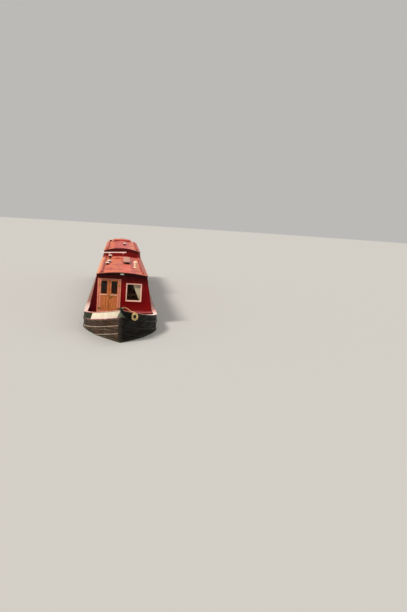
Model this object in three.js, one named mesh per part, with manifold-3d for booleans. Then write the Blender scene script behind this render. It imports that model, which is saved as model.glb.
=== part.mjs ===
// A steel canal narrowboat, 57 ft long, with a lower front cabin and a raised aft cabin.
// Millimetres. +X to the bow, +Y to port, +Z up. The origin is on the flat base plate,
// amidships. A station is a distance aft from the stem, so x = BOW_X - station.
import * as THREE from 'three';
import { mergeVertices } from 'three/addons/utils/BufferGeometryUtils.js';
import Module from 'manifold-3d';

const wasm = await Module();
wasm.setup();

// Driving dimensions of the hull
const LENGTH = 17370;
const BOW_X = LENGTH / 2;
const GAP = 0.3;
const ARC_GAP = 0.85;
const PLATE = 12;
const DECK_PLATE = 14;
const DECK_LIP = 12;
const GUNWALE_Z = 1060;
const SHEER_RISE = 430;
const SHEER_LENGTH = 3100;
const UXTER_Z = 550;
const BOW_WALL = 20;
const SIDE_WALL = 40;
const STRAKE_DROP = 205;

// Rubbing strakes: how far below the top each runs, half its depth, and how far it stands out.
// The lowest is on the bow alone and ends in a taper.
const STRAKE_BEVEL = 11;
const STRAKES = [
  { drop: 620, half: 22, proud: 20, endsAt: 1700 },
  { drop: 430, half: 36, proud: 20 },
  { drop: STRAKE_DROP, half: 22, proud: 20 },
];

// Stations along the hull
const STEM_BAR = 70;
const FOREDECK_START = 150;
const FOREDECK_END = 1250;
const BULKHEAD_AT = 3150;
const BOW_END = 3250;
const STEP_AT = 9830;
const SWIM_START = 13900;
const COUNTER_START = 16250;
const REAR_BULKHEAD_AT = 16400;
const STERN_POST_AT = 16300;
const RUDDER_AT = 16950;

// The hull's plan at five heights. A row with a drop lies that far below the sheer, so the last
// row is the gunwale. The hull is widest at its top strake and draws in a little above it.
const LEVELS = [
  { z: PLATE + GAP, stemSet: 340, curve: 2900, fullness: 1.9, half: 962 },
  { z: 200, stemSet: 160, curve: 2700, fullness: 1.9, half: 985 },
  { z: 640, stemSet: 60, curve: 2450, fullness: 1.9, half: 1018 },
  { drop: STRAKE_DROP, stemSet: 12, curve: 2420, fullness: 1.72, half: 1030 },
  { drop: 0, stemSet: 0, curve: 2400, fullness: 1.65, half: 1020 },
];
const BASE_Z = LEVELS[0].z;
const CHINE_Z = LEVELS[1].z;
const BELLY_Z = LEVELS[2].z;
const GUNWALE_HALF = LEVELS[4].half;
const COUNTER_RAKE = 0.12;
const STERN_POST_HALF = 45;
const SWIM_FULLNESS = 1.7;

// Decks. The foredeck slopes down from the stem to the well deck.
const FOREDECK_TOP = 1395;
const FOREDECK_LOW = 1195;
const WELL_FLOOR_Z = 800;
const SEAT = { from: 2860, to: 3149.7, inner: 200, outer: 900, top: 1040, lid: 25, overhang: 10 };
const LOCKER = { from: 620, to: 1060, half: 210, edge: 25 };
const STUD = { at: 380, high: 148, post: 25, arm: 20, wide: 120 };
const DOLLY = { at: 16900, y: 600 };
const CAPPING = { bow: 57, widens: 46 };
const LEDGE = 3;
const LEDGE_CLEAR = 1.5;
const BASE_LIP = 12;
const ENGINE = { from: 14900, to: 15700, half: 250, top: 760 };

// Cabin walls. Two roofs, each with the height of its edge, its camber and its stations.
const WALL = 50;
const CABIN_HALF = 915;
const TUMBLEHOME = 0.1845;
const ROOF_THICK = 28;
const ROOF_LIP = 20;
const MAIN = { edge: 2085, camber: 72, from: 2930, to: STEP_AT - GAP };
const RAISED = { edge: 2345, camber: 125, from: 9740, to: 16660 };
const FLOOR = { top: 165, thick: 25, half: 915, to: 14700, clear: 15 };
const BEARER = { from: 3700, to: 13700, count: 7, wide: 50, half: 850 };

// Cabin windows: middle station, width, sill height and height
const MAIN_WINDOWS = [
  { at: 4450, width: 900, sill: 1440, height: 440 },
  { at: 6250, width: 900, sill: 1440, height: 440 },
  { at: 8250, width: 900, sill: 1440, height: 440 },
];
const RAISED_WINDOWS = [
  { at: 11100, width: 760, sill: 1600, height: 440 },
  { at: 12900, width: 760, sill: 1600, height: 440 },
  { at: 14700, width: 500, sill: 1600, height: 440 },
];
const WINDOW_CORNER = 70;

// Holes through the bulkheads and the clear openings of their linings, as y and z limits
const FRONT_DOOR = { yA: -700, yB: -20, zA: 880, zB: 1940 };
const FRONT_CLEAR = { yA: -660, yB: -60, zA: 915, zB: 1910 };
const FRONT_WINDOW = { yA: 145, yB: 575, zA: 1307, zB: 1812 };
const REAR_DOOR = { yA: -380, yB: 380, zA: 1100, zB: 2215 };
const REAR_CLEAR = { yA: -340, yB: 340, zA: 1135, zB: 2180 };
const FRAME_PROUD = 18;
const WINDOW_WOOD = 10;
const WINDOW_LAP = 15;

// Door leaves, drawn from the pin: a glazed hole and sunk panels, as y and z limits
const LEAF = { thick: 34, ahead: 3, pin: 7, clear: 5, sunk: 8 };
const HINGE = { long: 80, strap: 60, deep: 50, thick: 6, places: [0.14, 0.84] };
const FRONT_PANE = { yA: 60, yB: 238, zA: 575, zB: 948 };
const FRONT_PANELS = [{ yA: 60, yB: 238, zA: 70, zB: 500 }];
const REAR_PANELS = [
  { yA: 62, yB: 272, zA: 80, zB: 460 },
  { yA: 62, yB: 272, zA: 540, zB: 950 },
];

// Steerer's hatch in the raised roof, the runners beside it and the slide that covers it
const HATCH = { from: 15700, to: 16300, half: 330 };
const RUNNER = { y: 365, wide: 30, high: 45, from: 14950, endsBefore: 20 };
const SLIDE = { over: 60, thick: 18, half: 410, wall: 12, lip: 30, rise: 28 };

// Stern gear
const SHAFT_Z = 300;
const STERN_TUBE = { radius: 38, long: 100 };
const PROPELLER = { radius: 205, hub: 45, long: 110, at: 16520, shaft: 20, blade: 12, pitch: 0.95 };
const STOCK = 25;
const TUBE_RADIUS = 45;
const TUBE_TOP = GUNWALE_Z + 40;
const RUDDER_FOOT = 51;
const RUDDER_PLATE = {
  from: 70,
  thick: 26,
  outline: [[0, 0], [330, 40], [330, 400], [250, 445], [-110, 445], [-110, 0]],
};
const SKEG = { half: 30, top: 40, cup: 45 };

// Swan neck of the rudder: distance ahead of the stock and height above the tube
const NECK = { radius: 22, points: [[0, 20], [0, 90], [-60, 330], [-90, 620], [-20, 800], [90, 845]] };
const TILLER_Z = TUBE_TOP + 845;
const SOCKET = { radius: 26, long: 90, end: 130 };
const TILLER = { radius: 16, long: 210 };

// Roof fittings
const RAIL = { wide: 40, deep: 22, high: 62, post: 40, postWide: 18, inset: 60, spacing: 2150 };
const MAIN_RAIL = { y: 610, from: 3050, to: 9500 };
const RAISED_RAIL = { y: 575, from: 9900, to: 16100 };
const FLUE = { at: 5000, y: 410 };
const PLANK = { from: 6000, to: 8150, yA: 35, yB: 265, top: 2250, thick: 38 };
const PLANK_BEARERS = { at: [6350, 7850], wide: 60 };
const ROOF_HATCH = { from: 8300, to: 9000, yA: -250, yB: 90, high: 40, crown: 12 };
const STAFF = { at: 9200, radius: 20, long: 880, y: -315, z: 2318, lean: 0.058, feet: [-480, 40], foot: 50 };
const LAMP = { yA: -65, yB: 55, high: 50, from: 20, to: 90 };
const VENTS = [
  { roof: MAIN, at: 5750, y: -480, collar: 0 },
  { roof: MAIN, at: 6600, y: -430, collar: 0 },
  { roof: MAIN, at: 8600, y: -430, collar: 45 },
  { roof: RAISED, at: 12000, y: 96, collar: 0 },
  { roof: RAISED, at: 16350, y: -520, collar: 0 },
];

// Mooring rope: a coil hung on the port bow by its own tail, which comes from the T-shaped stud.
// The tail's points are station, y and z.
const ROPE = { radius: 7, coil: 76, bundle: 27 };
const COIL = { along: 0.116, z: 1266, standsOff: 62, turned: 25 };
const TAIL = [
  [381, 44, 1495.5], [384, 92, 1494], [390, 160, 1465], [399, 232, 1417],
  [406, 284, 1396], [409.5, 318, 1391.5], [411.6, 342, 1386], [412, 347, 1371.8],
];

// Paints and bare materials, as three.js colours
const finish = (color, roughness, metalness = 0) =>
  new THREE.MeshStandardMaterial({ color, roughness, metalness });
const BLACKING = finish(0x1c1a18, 0.55);
const CREAM = finish(0xe6e2cd, 0.4);
const CRIMSON = finish(0x6a0f16, 0.35);
const ROOF_RED = finish(0xa8402f, 0.55);
const DECK_PINK = finish(0xb98d84, 0.7);
const VARNISHED = finish(0x9a5526, 0.35);
const PALE_WOOD = finish(0xd9a58f, 0.5);
const BRASS = finish(0xb08d45, 0.3, 1);
const STEEL = finish(0x6d6f70, 0.45, 0.9);
const FLOOR_PLY = finish(0x7b5f45, 0.7);
const GREY = finish(0x8c9094, 0.5, 0.4);
const WHITE = finish(0xeeeae2, 0.4);
const HEMP = finish(0xc7a35a, 0.9);
const OLD_BOARD = finish(0x9c9490, 0.6);

const boat = new THREE.Group();

function add(name, geometry, material) {
  const mesh = new THREE.Mesh(geometry, material);
  mesh.name = name;
  boat.add(mesh);
  return mesh;
}

// Joins and cuts

function solidOf(geometry) {
  const bare = geometry.clone();
  bare.deleteAttribute('normal');
  bare.deleteAttribute('uv');
  const merged = mergeVertices(bare, 1e-3);
  return new wasm.Manifold(new wasm.Mesh({
    numProp: 3,
    vertProperties: new Float32Array(merged.attributes.position.array),
    triVerts: new Uint32Array(merged.index.array),
  }));
}

function geometryOf(solid) {
  const mesh = solid.getMesh();
  const geometry = new THREE.BufferGeometry();
  geometry.setAttribute('position', new THREE.BufferAttribute(new Float32Array(mesh.vertProperties), 3));
  geometry.setIndex(Array.from(mesh.triVerts));
  return geometry;
}

function joined(...geometries) {
  return geometryOf(geometries.map(solidOf).reduce((a, b) => a.add(b)));
}

function cut(geometry, ...tools) {
  return geometryOf(tools.map(solidOf).reduce((a, b) => a.subtract(b), solidOf(geometry)));
}

// Simple shapes

const xAt = (station) => BOW_X - station;

// A box between two stations, two y values and two heights
function block(stationA, stationB, yA, yB, zA, zB) {
  const shape = new THREE.BoxGeometry(stationB - stationA, yB - yA, zB - zA);
  return shape.translate(xAt((stationA + stationB) / 2), (yA + yB) / 2, (zA + zB) / 2);
}

// A round bar whose axis is x, y or z, centred on a point
function bar(radius, length, axis, x, y, z, sides = 20) {
  const shape = new THREE.CylinderGeometry(radius, radius, length, sides);
  if (axis === 'x') shape.rotateZ(Math.PI / 2);
  if (axis === 'z') shape.rotateX(Math.PI / 2);
  return shape.translate(x, y, z);
}

// A round bar bent along a smooth line through [x, y, z] points
function tube(points, radius, steps) {
  const line = new THREE.CatmullRomCurve3(points.map((p) => new THREE.Vector3(...p)));
  const round = new THREE.Shape().absarc(0, 0, radius, 0, Math.PI * 2);
  const settings = { steps, curveSegments: 5, bevelEnabled: false, extrudePath: line };
  return new THREE.ExtrudeGeometry(round, settings);
}

// An outline of [y, z] points extruded from one station to another
function slab(outline, stationA, stationB, holes = []) {
  const shape = new THREE.Shape(outline.map(([y, z]) => new THREE.Vector2(y, z)));
  holes.forEach((hole) => shape.holes.push(new THREE.Path(hole.map(([y, z]) => new THREE.Vector2(y, z)))));
  const solid = new THREE.ExtrudeGeometry(shape, { depth: stationB - stationA, bevelEnabled: false });
  solid.applyMatrix4(new THREE.Matrix4().makeBasis(
    new THREE.Vector3(0, 1, 0), new THREE.Vector3(0, 0, 1), new THREE.Vector3(1, 0, 0)));
  return solid.translate(xAt(stationB), 0, 0);
}

// A plan outline of [station, y] points extruded upwards
function deck(outline, zA, zB) {
  const shape = new THREE.Shape(outline.map(([station, y]) => new THREE.Vector2(xAt(station), y)));
  return new THREE.ExtrudeGeometry(shape, { depth: zB - zA, bevelEnabled: false }).translate(0, 0, zA);
}

// A closed skin through rings of points. The ends are closed flat, in the two coordinates named.
function loft(rings, endAxes = ['y', 'z']) {
  const count = rings[0].length;
  const positions = rings.flat().flatMap((p) => [p.x, p.y, p.z]);
  const index = [];
  for (let i = 0; i + 1 < rings.length; i += 1) {
    for (let j = 0; j < count; j += 1) {
      const a = i * count + j;
      const b = i * count + ((j + 1) % count);
      index.push(a, a + count, b, b, a + count, b + count);
    }
  }
  const last = (rings.length - 1) * count;
  const inRingOrder = (ring) => {
    const flat = ring.map((p) => new THREE.Vector2(p[endAxes[0]], p[endAxes[1]]));
    const turned = THREE.ShapeUtils.area(flat) < 0;
    return THREE.ShapeUtils.triangulateShape(flat, []).map(([a, b, c]) => (turned ? [a, c, b] : [a, b, c]));
  };
  inRingOrder(rings[0]).forEach((face) => index.push(...face));
  inRingOrder(rings[rings.length - 1]).forEach(([a, b, c]) => index.push(last + a, last + c, last + b));
  const geometry = new THREE.BufferGeometry();
  geometry.setAttribute('position', new THREE.BufferAttribute(new Float32Array(positions), 3));
  geometry.setIndex(index);
  return facingOut(geometry);
}

function facingOut(geometry) {
  const p = geometry.attributes.position;
  const index = geometry.index.array;
  const [a, b, c] = [new THREE.Vector3(), new THREE.Vector3(), new THREE.Vector3()];
  let volume = 0;
  for (let i = 0; i < index.length; i += 3) {
    a.fromBufferAttribute(p, index[i]);
    b.fromBufferAttribute(p, index[i + 1]);
    c.fromBufferAttribute(p, index[i + 2]);
    volume += a.dot(b.cross(c));
  }
  if (volume < 0) turnOver(geometry);
  return geometry;
}

function turnOver(geometry) {
  const index = geometry.index.array;
  for (let i = 0; i < index.length; i += 3) [index[i + 1], index[i + 2]] = [index[i + 2], index[i + 1]];
}

// The same solid on the other side of the boat
function mirrored(geometry) {
  const other = geometry.clone().applyMatrix4(new THREE.Matrix4().makeScale(1, -1, 1));
  if (!other.index) other.setIndex([...Array(other.attributes.position.count).keys()]);
  turnOver(other);
  return other;
}

function bothSides(name, geometry, material) {
  add(`${name}_port`, geometry, material);
  add(`${name}_starboard`, mirrored(geometry), material);
}

// Values from one number to another in equal steps
function range(from, to, steps) {
  return Array.from({ length: steps + 1 }, (_, i) => from + ((to - from) * i) / steps);
}

// Steps along the bow, closer together near the stem, and round the counter
const BOW_STEPS = range(0, 1, 16).map((u) => u ** 1.25);
const COUNTER_STEPS = range(0, Math.PI, 28);

// Hull surface

const sheerZ = (station) => GUNWALE_Z + SHEER_RISE * Math.max(0, 1 - station / SHEER_LENGTH) ** 2;

function planHalf(level, station) {
  const along = Math.min((station - level.stemSet) / level.curve, 1);
  return level.half * (1 - (1 - along) ** level.fullness);
}

// The two levels that a height lies between, and how far up it is from the lower to the upper
function levelsAt(z, top) {
  const heights = LEVELS.map((level) => level.z ?? top - level.drop);
  let row = 0;
  while (row < heights.length - 2 && z >= heights[row + 1]) row += 1;
  const t = (z - heights[row]) / (heights[row + 1] - heights[row]);
  return { low: LEVELS[row], high: LEVELS[row + 1], t };
}

// A point of the port bow's outer skin. along runs from 0 at the stem bar to 1 at BOW_END.
function bowSkin(along, z, lead = STEM_BAR) {
  const onLevel = (level) => {
    const from = level.stemSet + lead;
    const station = from + (BOW_END - from) * along;
    return { station, y: planHalf(level, station) };
  };
  const { low, high, t } = levelsAt(z, topAt(along, lead));
  const [from, to] = [onLevel(low), onLevel(high)];
  return { station: from.station + (to.station - from.station) * t, y: from.y + (to.y - from.y) * t };
}

// The same point moved out along the skin's plan normal, or inwards if outBy is negative
function bowPoint(along, z, outBy, lead = STEM_BAR) {
  const step = 0.004;
  const here = bowSkin(along, z, lead);
  const ahead = bowSkin(Math.max(along - step, 0), z, lead);
  const behind = bowSkin(Math.max(along - step, 0) + step, z, lead);
  const [ds, dy] = [behind.station - ahead.station, behind.y - ahead.y];
  const length = Math.hypot(ds, dy);
  return new THREE.Vector3(xAt(here.station) + (outBy * dy) / length, here.y + (outBy * ds) / length, z);
}

const topAt = (along, lead = STEM_BAR) => sheerZ(lead + (BOW_END - lead) * along);

// Heights and standing-out of the skin above its lower part, with rubbing strakes, going up
function strakeRows(top, strakes, station = BOW_END) {
  const rows = strakes.flatMap(({ drop, half, proud, endsAt }) => {
    const z = top - drop;
    const fade = endsAt ? Math.max(0, 1 - station / endsAt) : 1;
    const out = proud * Math.min(1, fade * 4);
    return [[z - half, 0], [z - half + STRAKE_BEVEL, out], [z + half - STRAKE_BEVEL, out], [z + half, 0]];
  });
  return [...rows, [top - DECK_PLATE - GAP, 0]];
}

// Half breadth of the straight hull at a height
function sideHalf(z) {
  const { low, high, t } = levelsAt(z, GUNWALE_Z);
  return low.half + (high.half - low.half) * t;
}

function bowSide() {
  const rings = BOW_STEPS.map((along) => {
    const top = topAt(along);
    const rows = strakeRows(top, STRAKES, STEM_BAR + (BOW_END - STEM_BAR) * along);
    const bilge = Math.min(BELLY_Z, rows[0][0] - 40);
    const outer = [[BASE_Z, 0], [CHINE_Z, 0], [bilge, 0], ...rows]
      .map(([z, out]) => bowPoint(along, z, out));
    const inner = [rows[rows.length - 1][0], top - STRAKE_DROP, BELLY_Z, CHINE_Z, BASE_Z]
      .map((z) => bowPoint(along, z, -BOW_WALL));
    return [...outer, ...inner];
  });
  return loft(rings);
}

function stemPost() {
  const lead = STEM_BAR - 1;
  const noseHalf = 15;
  const head = 20;
  const shoulder = topAt(0, lead) - 1;
  const heights = [BASE_Z, CHINE_Z, BELLY_Z, shoulder + 1 - STRAKE_DROP, shoulder, sheerZ(0) + head];
  const rings = heights.map((z) => {
    const level = Math.min(z, shoulder);
    const outer = bowPoint(0, level, 0, lead);
    const inner = bowPoint(0, level, -BOW_WALL, lead);
    const nose = outer.x + lead;
    return [[nose, -noseHalf], [nose, noseHalf], [outer.x, outer.y], [inner.x, inner.y],
      [inner.x, -inner.y], [outer.x, -outer.y]].map(([x, y]) => new THREE.Vector3(x, y, z));
  });
  return loft(rings, ['x', 'y']);
}

// Port wall of the straight hull, between two stations, from a bottom height up
function straightSide(bottom, stationA, stationB) {
  const foot = bottom < CHINE_Z ? [bottom, CHINE_Z] : [bottom];
  const rows = [...foot.map((z) => [z, 0]), ...strakeRows(GUNWALE_Z, STRAKES.slice(1))];
  const outer = rows.map(([z, out]) => [sideHalf(z) + out, z]);
  const inner = [rows[rows.length - 1][0], GUNWALE_Z - STRAKE_DROP, ...foot.reverse()]
    .map((z) => [sideHalf(z) - SIDE_WALL, z]);
  return slab([...outer, ...inner], stationA, stationB);
}

function cabinFloor() {
  const under = FLOOR.top - FLOOR.thick;
  const aft = range(SWIM_START, FLOOR.to, 4).map((station) =>
    [station, swimHalf(station) - BOW_WALL - FLOOR.clear]);
  const boards = deck(acrossFrom([[BOW_END + 50, FLOOR.half], ...aft]), under, FLOOR.top);
  const bearers = range(BEARER.from, BEARER.to, BEARER.count - 1).map((station) =>
    block(station, station + BEARER.wide, -BEARER.half, BEARER.half, BASE_Z, under + 5));
  return joined(boards, ...bearers);
}

// A plan outline completed with its own reflection
function acrossFrom(port) {
  return [...port, ...port.map(([station, y]) => [station, -y]).reverse()];
}

// Underwater plates that draw in to the stern post
function swimHalf(station) {
  const along = (station - SWIM_START) / (STERN_POST_AT - SWIM_START);
  return STERN_POST_HALF + (LEVELS[0].half - STERN_POST_HALF) * (1 - along ** SWIM_FULLNESS);
}

function swimPlate() {
  const top = UXTER_Z - DECK_PLATE - GAP;
  const rings = range(SWIM_START + GAP, STERN_POST_AT - 2 * GAP, 12).map((station) => {
    const y = swimHalf(station);
    return [[y, BASE_Z], [y, top], [y - BOW_WALL, top], [y - BOW_WALL, BASE_Z]]
      .map(([py, z]) => new THREE.Vector3(xAt(station), py, z));
  });
  return loft(rings);
}

// Plan of the round counter: a half ellipse aft of COUNTER_START, drawn in by inset
function counterPoint(turn, half, inset) {
  const depth = LENGTH - COUNTER_START - GAP - DECK_LIP - inset;
  return [COUNTER_START + GAP + depth * Math.sin(turn), (half - inset) * Math.cos(turn)];
}

const counterRake = (z) => (GUNWALE_Z - z) * COUNTER_RAKE;

function counterBand() {
  const rows = [[UXTER_Z, 0], ...strakeRows(GUNWALE_Z, STRAKES.slice(1))];
  const rings = COUNTER_STEPS.map((turn) => {
    const place = (z, out) => {
      const [station, y] = counterPoint(turn, sideHalf(z), counterRake(z) * Math.sin(turn) - out);
      return new THREE.Vector3(xAt(station), y, z);
    };
    const outer = rows.map(([z, out]) => place(z, out));
    const inner = [rows[rows.length - 1][0], GUNWALE_Z - STRAKE_DROP, UXTER_Z]
      .map((z) => place(z, -SIDE_WALL));
    return [...outer, ...inner];
  });
  return loft(rings);
}

function uxterPlate() {
  const half = sideHalf(UXTER_Z);
  const arc = COUNTER_STEPS
    .map((turn) => counterPoint(turn, half, counterRake(UXTER_Z) * Math.sin(turn)));
  const outline = [[SWIM_START + GAP, half], ...arc, [SWIM_START + GAP, -half]];
  const plate = deck(outline, UXTER_Z - DECK_PLATE, UXTER_Z - GAP);
  const insideSwim = range(SWIM_START - 10, STERN_POST_AT - 60, 12).map((station) =>
    [station, swimHalf(Math.max(station, SWIM_START)) - BOW_WALL - 6]);
  const engineWell = deck(acrossFrom(insideSwim), UXTER_Z - 100, UXTER_Z + 100);
  const tubeFoot = UXTER_Z - DECK_PLATE - 12;
  const middle = (tubeFoot + TUBE_TOP) / 2;
  const tube = bar(TUBE_RADIUS, TUBE_TOP - tubeFoot, 'z', xAt(RUDDER_AT), 0, middle);
  const bore = bar(STOCK + 5, TUBE_TOP - tubeFoot + 10, 'z', xAt(RUDDER_AT), 0, middle);
  return cut(joined(cut(plate, engineWell), tube), bore);
}

function basePlate() {
  const level = LEVELS[0];
  const bow = BOW_STEPS.map((u) => level.stemSet + level.curve * u)
    .map((station) => [station - 8, planHalf(level, station) + BASE_LIP]);
  const stern = range(SWIM_START, STERN_POST_AT, 12)
    .map((station) => [station, swimHalf(station) + BASE_LIP]);
  const port = [[level.stemSet - 14, 16], ...bow, ...stern, [STERN_POST_AT + 100, 50]];
  const plate = deck(acrossFrom(port), 0, PLATE);
  const skeg = block(STERN_POST_AT + 60 + GAP, RUDDER_AT + SKEG.cup, -SKEG.half, SKEG.half, 0, SKEG.top);
  const cup = bar(SKEG.cup, RUDDER_FOOT - 1, 'z', xAt(RUDDER_AT), 0, (RUDDER_FOOT - 1) / 2);
  return joined(plate, skeg, cup);
}

// Decks

function bowCapping() {
  const rings = BOW_STEPS.map((along) => {
    const top = topAt(along);
    const wide = CAPPING.bow + CAPPING.widens * along;
    const low = top - DECK_PLATE;
    return [[DECK_LIP, low], [DECK_LIP, top], [-wide, top], [-wide, low]].map(([out, z]) => {
      const p = bowPoint(along, Math.min(z, top - 1), out);
      return new THREE.Vector3(p.x, p.y, z);
    });
  });
  return loft(rings);
}

// The strip of the side deck that the cabin wall stands on is a little lower than the rest
function sideDeck() {
  const low = GUNWALE_Z - DECK_PLATE;
  const half = GUNWALE_HALF + DECK_LIP;
  const ledge = GUNWALE_Z - LEDGE;
  const ledgeHalf = CABIN_HALF + LEDGE_CLEAR;
  const outline = [[half, low], [half, GUNWALE_Z], [ledgeHalf, GUNWALE_Z], [ledgeHalf, ledge],
    [CABIN_HALF - WALL, ledge], [CABIN_HALF - WALL, low]];
  return slab(outline, BOW_END + GAP, COUNTER_START - GAP);
}

function foredeckZ(station) {
  const along = (station - FOREDECK_START) / (FOREDECK_END - FOREDECK_START);
  return FOREDECK_TOP + (FOREDECK_LOW - FOREDECK_TOP) * along;
}

// Half width inside the bow's skin at a station and height
function bowInside(station, z) {
  let [low, high] = [0, 1];
  for (let i = 0; i < 30; i += 1) {
    const mid = (low + high) / 2;
    if (xAt(station) < bowPoint(mid, z, -BOW_WALL).x) low = mid;
    else high = mid;
  }
  return bowPoint(low, z, -BOW_WALL).y;
}

function foredeck() {
  const rings = range(FOREDECK_START, FOREDECK_END, 10).map((station) => {
    const z = foredeckZ(station);
    const y = bowInside(station, z - PLATE) - 2;
    return [[y, z], [-y, z], [-y, z - PLATE], [y, z - PLATE]]
      .map(([py, pz]) => new THREE.Vector3(xAt(station), py, pz));
  });
  const hole = block(LOCKER.from, LOCKER.to, -LOCKER.half, LOCKER.half,
    FOREDECK_LOW - 200, FOREDECK_TOP + 100);
  return joined(cut(loft(rings), hole), tStud());
}

function lockerLid() {
  const rings = [LOCKER.from - LOCKER.edge, LOCKER.to + LOCKER.edge].map((station) => {
    const z = foredeckZ(station) + GAP;
    const y = LOCKER.half + LOCKER.edge;
    return [[y, z], [y, z + 10], [0, z + 20], [-y, z + 10], [-y, z]]
      .map(([py, pz]) => new THREE.Vector3(xAt(station), py, pz));
  });
  return loft(rings);
}

// The plate between the foredeck's aft edge and the well deck's floor
function foredeckBulkhead() {
  const heights = range(WELL_FLOOR_Z + GAP, FOREDECK_LOW - PLATE - 3, 4);
  const rings = [GAP, GAP + BOW_WALL].map((behind) => {
    const port = heights.map((z) =>
      new THREE.Vector3(xAt(FOREDECK_END + behind), bowInside(FOREDECK_END + behind, z) - 3, z));
    const starboard = port.map(({ x, y, z }) => new THREE.Vector3(x, -y, z)).reverse();
    return [...port, ...starboard];
  });
  return loft(rings);
}

// The well deck's floor, with a locker seat on its port side against the cabin
function wellFloor() {
  const stations = range(FOREDECK_END + GAP, BULKHEAD_AT + WALL - GAP, 8);
  const port = stations.map((station) => [station, bowInside(station, WELL_FLOOR_Z - PLATE) - 3]);
  const floor = deck(acrossFrom(port), WELL_FLOOR_Z - PLATE, WELL_FLOOR_Z);
  const underLid = SEAT.top - SEAT.lid;
  const locker = block(SEAT.from, SEAT.to, SEAT.inner, SEAT.outer, WELL_FLOOR_Z - 5, underLid + 1);
  const lid = block(SEAT.from - SEAT.overhang, SEAT.to, SEAT.inner - SEAT.overhang,
    SEAT.outer + SEAT.overhang, underLid, SEAT.top);
  return joined(floor, locker, lid);
}

// Cabin

const cabinHalf = (z) => CABIN_HALF - TUMBLEHOME * (z - GUNWALE_Z);
const roofHalf = (roof) => cabinHalf(roof.edge) + ROOF_LIP;

// Top and underside of a roof at a distance from the centre line
const roofTop = (roof, y) => roof.edge + roof.camber * (1 - (y / roofHalf(roof)) ** 2);
const underRoof = (roof, y) => roofTop(roof, y) - ROOF_THICK;

// Where a wall line, set in from the cabin's outside, meets the roof's underside
function meetRoof(roof, inset) {
  let z = roof.edge;
  for (let i = 0; i < 8; i += 1) z = underRoof(roof, cabinHalf(z) - inset) - ARC_GAP;
  return [cabinHalf(z) - inset, z];
}

// Outline of the underside of a roof between the walls, from one side to the other
function underRoofArc(roof, inset) {
  const half = meetRoof(roof, inset)[0];
  return range(half, -half, 14).map((y) => [y, underRoof(roof, y) - ARC_GAP]);
}

function roofPanel(roof) {
  const across = range(-roofHalf(roof), roofHalf(roof), 14);
  const top = across.map((y) => [y, roofTop(roof, y)]);
  const under = across.map((y) => [y, underRoof(roof, y)]).reverse();
  return slab([...top, ...under], roof.from, roof.to);
}

// Port cabin wall from the side deck's ledge up to a roof, with its windows cut
function cabinSide(roof, stationA, stationB, windows) {
  const base = GUNWALE_Z - LEDGE + GAP;
  const outline = [
    [cabinHalf(base), base], meetRoof(roof, 0), meetRoof(roof, WALL), [cabinHalf(base) - WALL, base],
  ];
  return cut(slab(outline, stationA, stationB), ...windows.map(roundedHole));
}

function roundedHole({ at, width, sill, height }) {
  const r = WINDOW_CORNER;
  const [w, h] = [width / 2, height];
  const shape = new THREE.Shape();
  shape.moveTo(-w + r, 0).lineTo(w - r, 0).absarc(w - r, r, r, -Math.PI / 2, 0)
    .lineTo(w, h - r).absarc(w - r, h - r, r, 0, Math.PI / 2)
    .lineTo(-w + r, h).absarc(-w + r, h - r, r, Math.PI / 2, Math.PI)
    .lineTo(-w, r).absarc(-w + r, r, r, Math.PI, Math.PI * 1.5);
  const tool = new THREE.ExtrudeGeometry(shape, { depth: 700, bevelEnabled: false, curveSegments: 5 });
  return tool.rotateX(Math.PI / 2).translate(xAt(at), CABIN_HALF + 200, sill);
}

const rectangle = ({ yA, yB, zA, zB }, inset = 0) => [
  [yA + inset, zA + inset], [yB - inset, zA + inset], [yB - inset, zB - inset], [yA + inset, zB - inset]];

function frontBulkhead() {
  const low = WELL_FLOOR_Z + GAP;
  const shelf = GUNWALE_Z - DECK_PLATE - GAP;
  const below = Math.min(...[low, shelf].map((z) => bowInside(BULKHEAD_AT + 20, z))) - 6;
  const onDeck = GUNWALE_Z + GAP;
  const inDeck = CABIN_HALF - WALL - 5;
  const port = [[below, low], [below, shelf], [inDeck, shelf], [inDeck, onDeck], [cabinHalf(onDeck), onDeck]];
  const starboard = port.map(([y, z]) => [-y, z]).reverse();
  const outline = [...port, ...underRoofArc(MAIN, 0), ...starboard];
  return slab(outline, BULKHEAD_AT, BULKHEAD_AT + WALL, [rectangle(FRONT_DOOR), rectangle(FRONT_WINDOW)]);
}

// A wooden lining that stands in a hole through a bulkhead and shows proud of it
function lining(hole, clear, stationA, stationB) {
  return slab(rectangle(hole, GAP), stationA, stationB, [rectangle(clear)]);
}

function windowFrame() {
  const clear = rectangle(FRONT_WINDOW, WINDOW_WOOD);
  const board = slab(rectangle(FRONT_WINDOW, -WINDOW_LAP), BULKHEAD_AT - FRAME_PROUD - GAP,
    BULKHEAD_AT - GAP, [clear]);
  const reveal = slab(rectangle(FRONT_WINDOW, GAP), BULKHEAD_AT - 5, BULKHEAD_AT + WALL, [clear]);
  return joined(board, reveal);
}

function stepFace() {
  const inset = WALL + GAP;
  const under = underRoofArc(MAIN, inset).reverse();
  return slab([...under, ...underRoofArc(RAISED, inset)], STEP_AT, STEP_AT + WALL);
}

function rearBulkhead() {
  const low = GUNWALE_Z + GAP;
  const inset = WALL + GAP;
  const foot = cabinHalf(low) - inset;
  const outline = [[-foot, low], [foot, low], ...underRoofArc(RAISED, inset)];
  return slab(outline, REAR_BULKHEAD_AT - WALL, REAR_BULKHEAD_AT, [rectangle(REAR_DOOR)]);
}

// Steerer's hatch

const runnerTop = () => roofTop(RAISED, RUNNER.y) + RUNNER.high;

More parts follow.
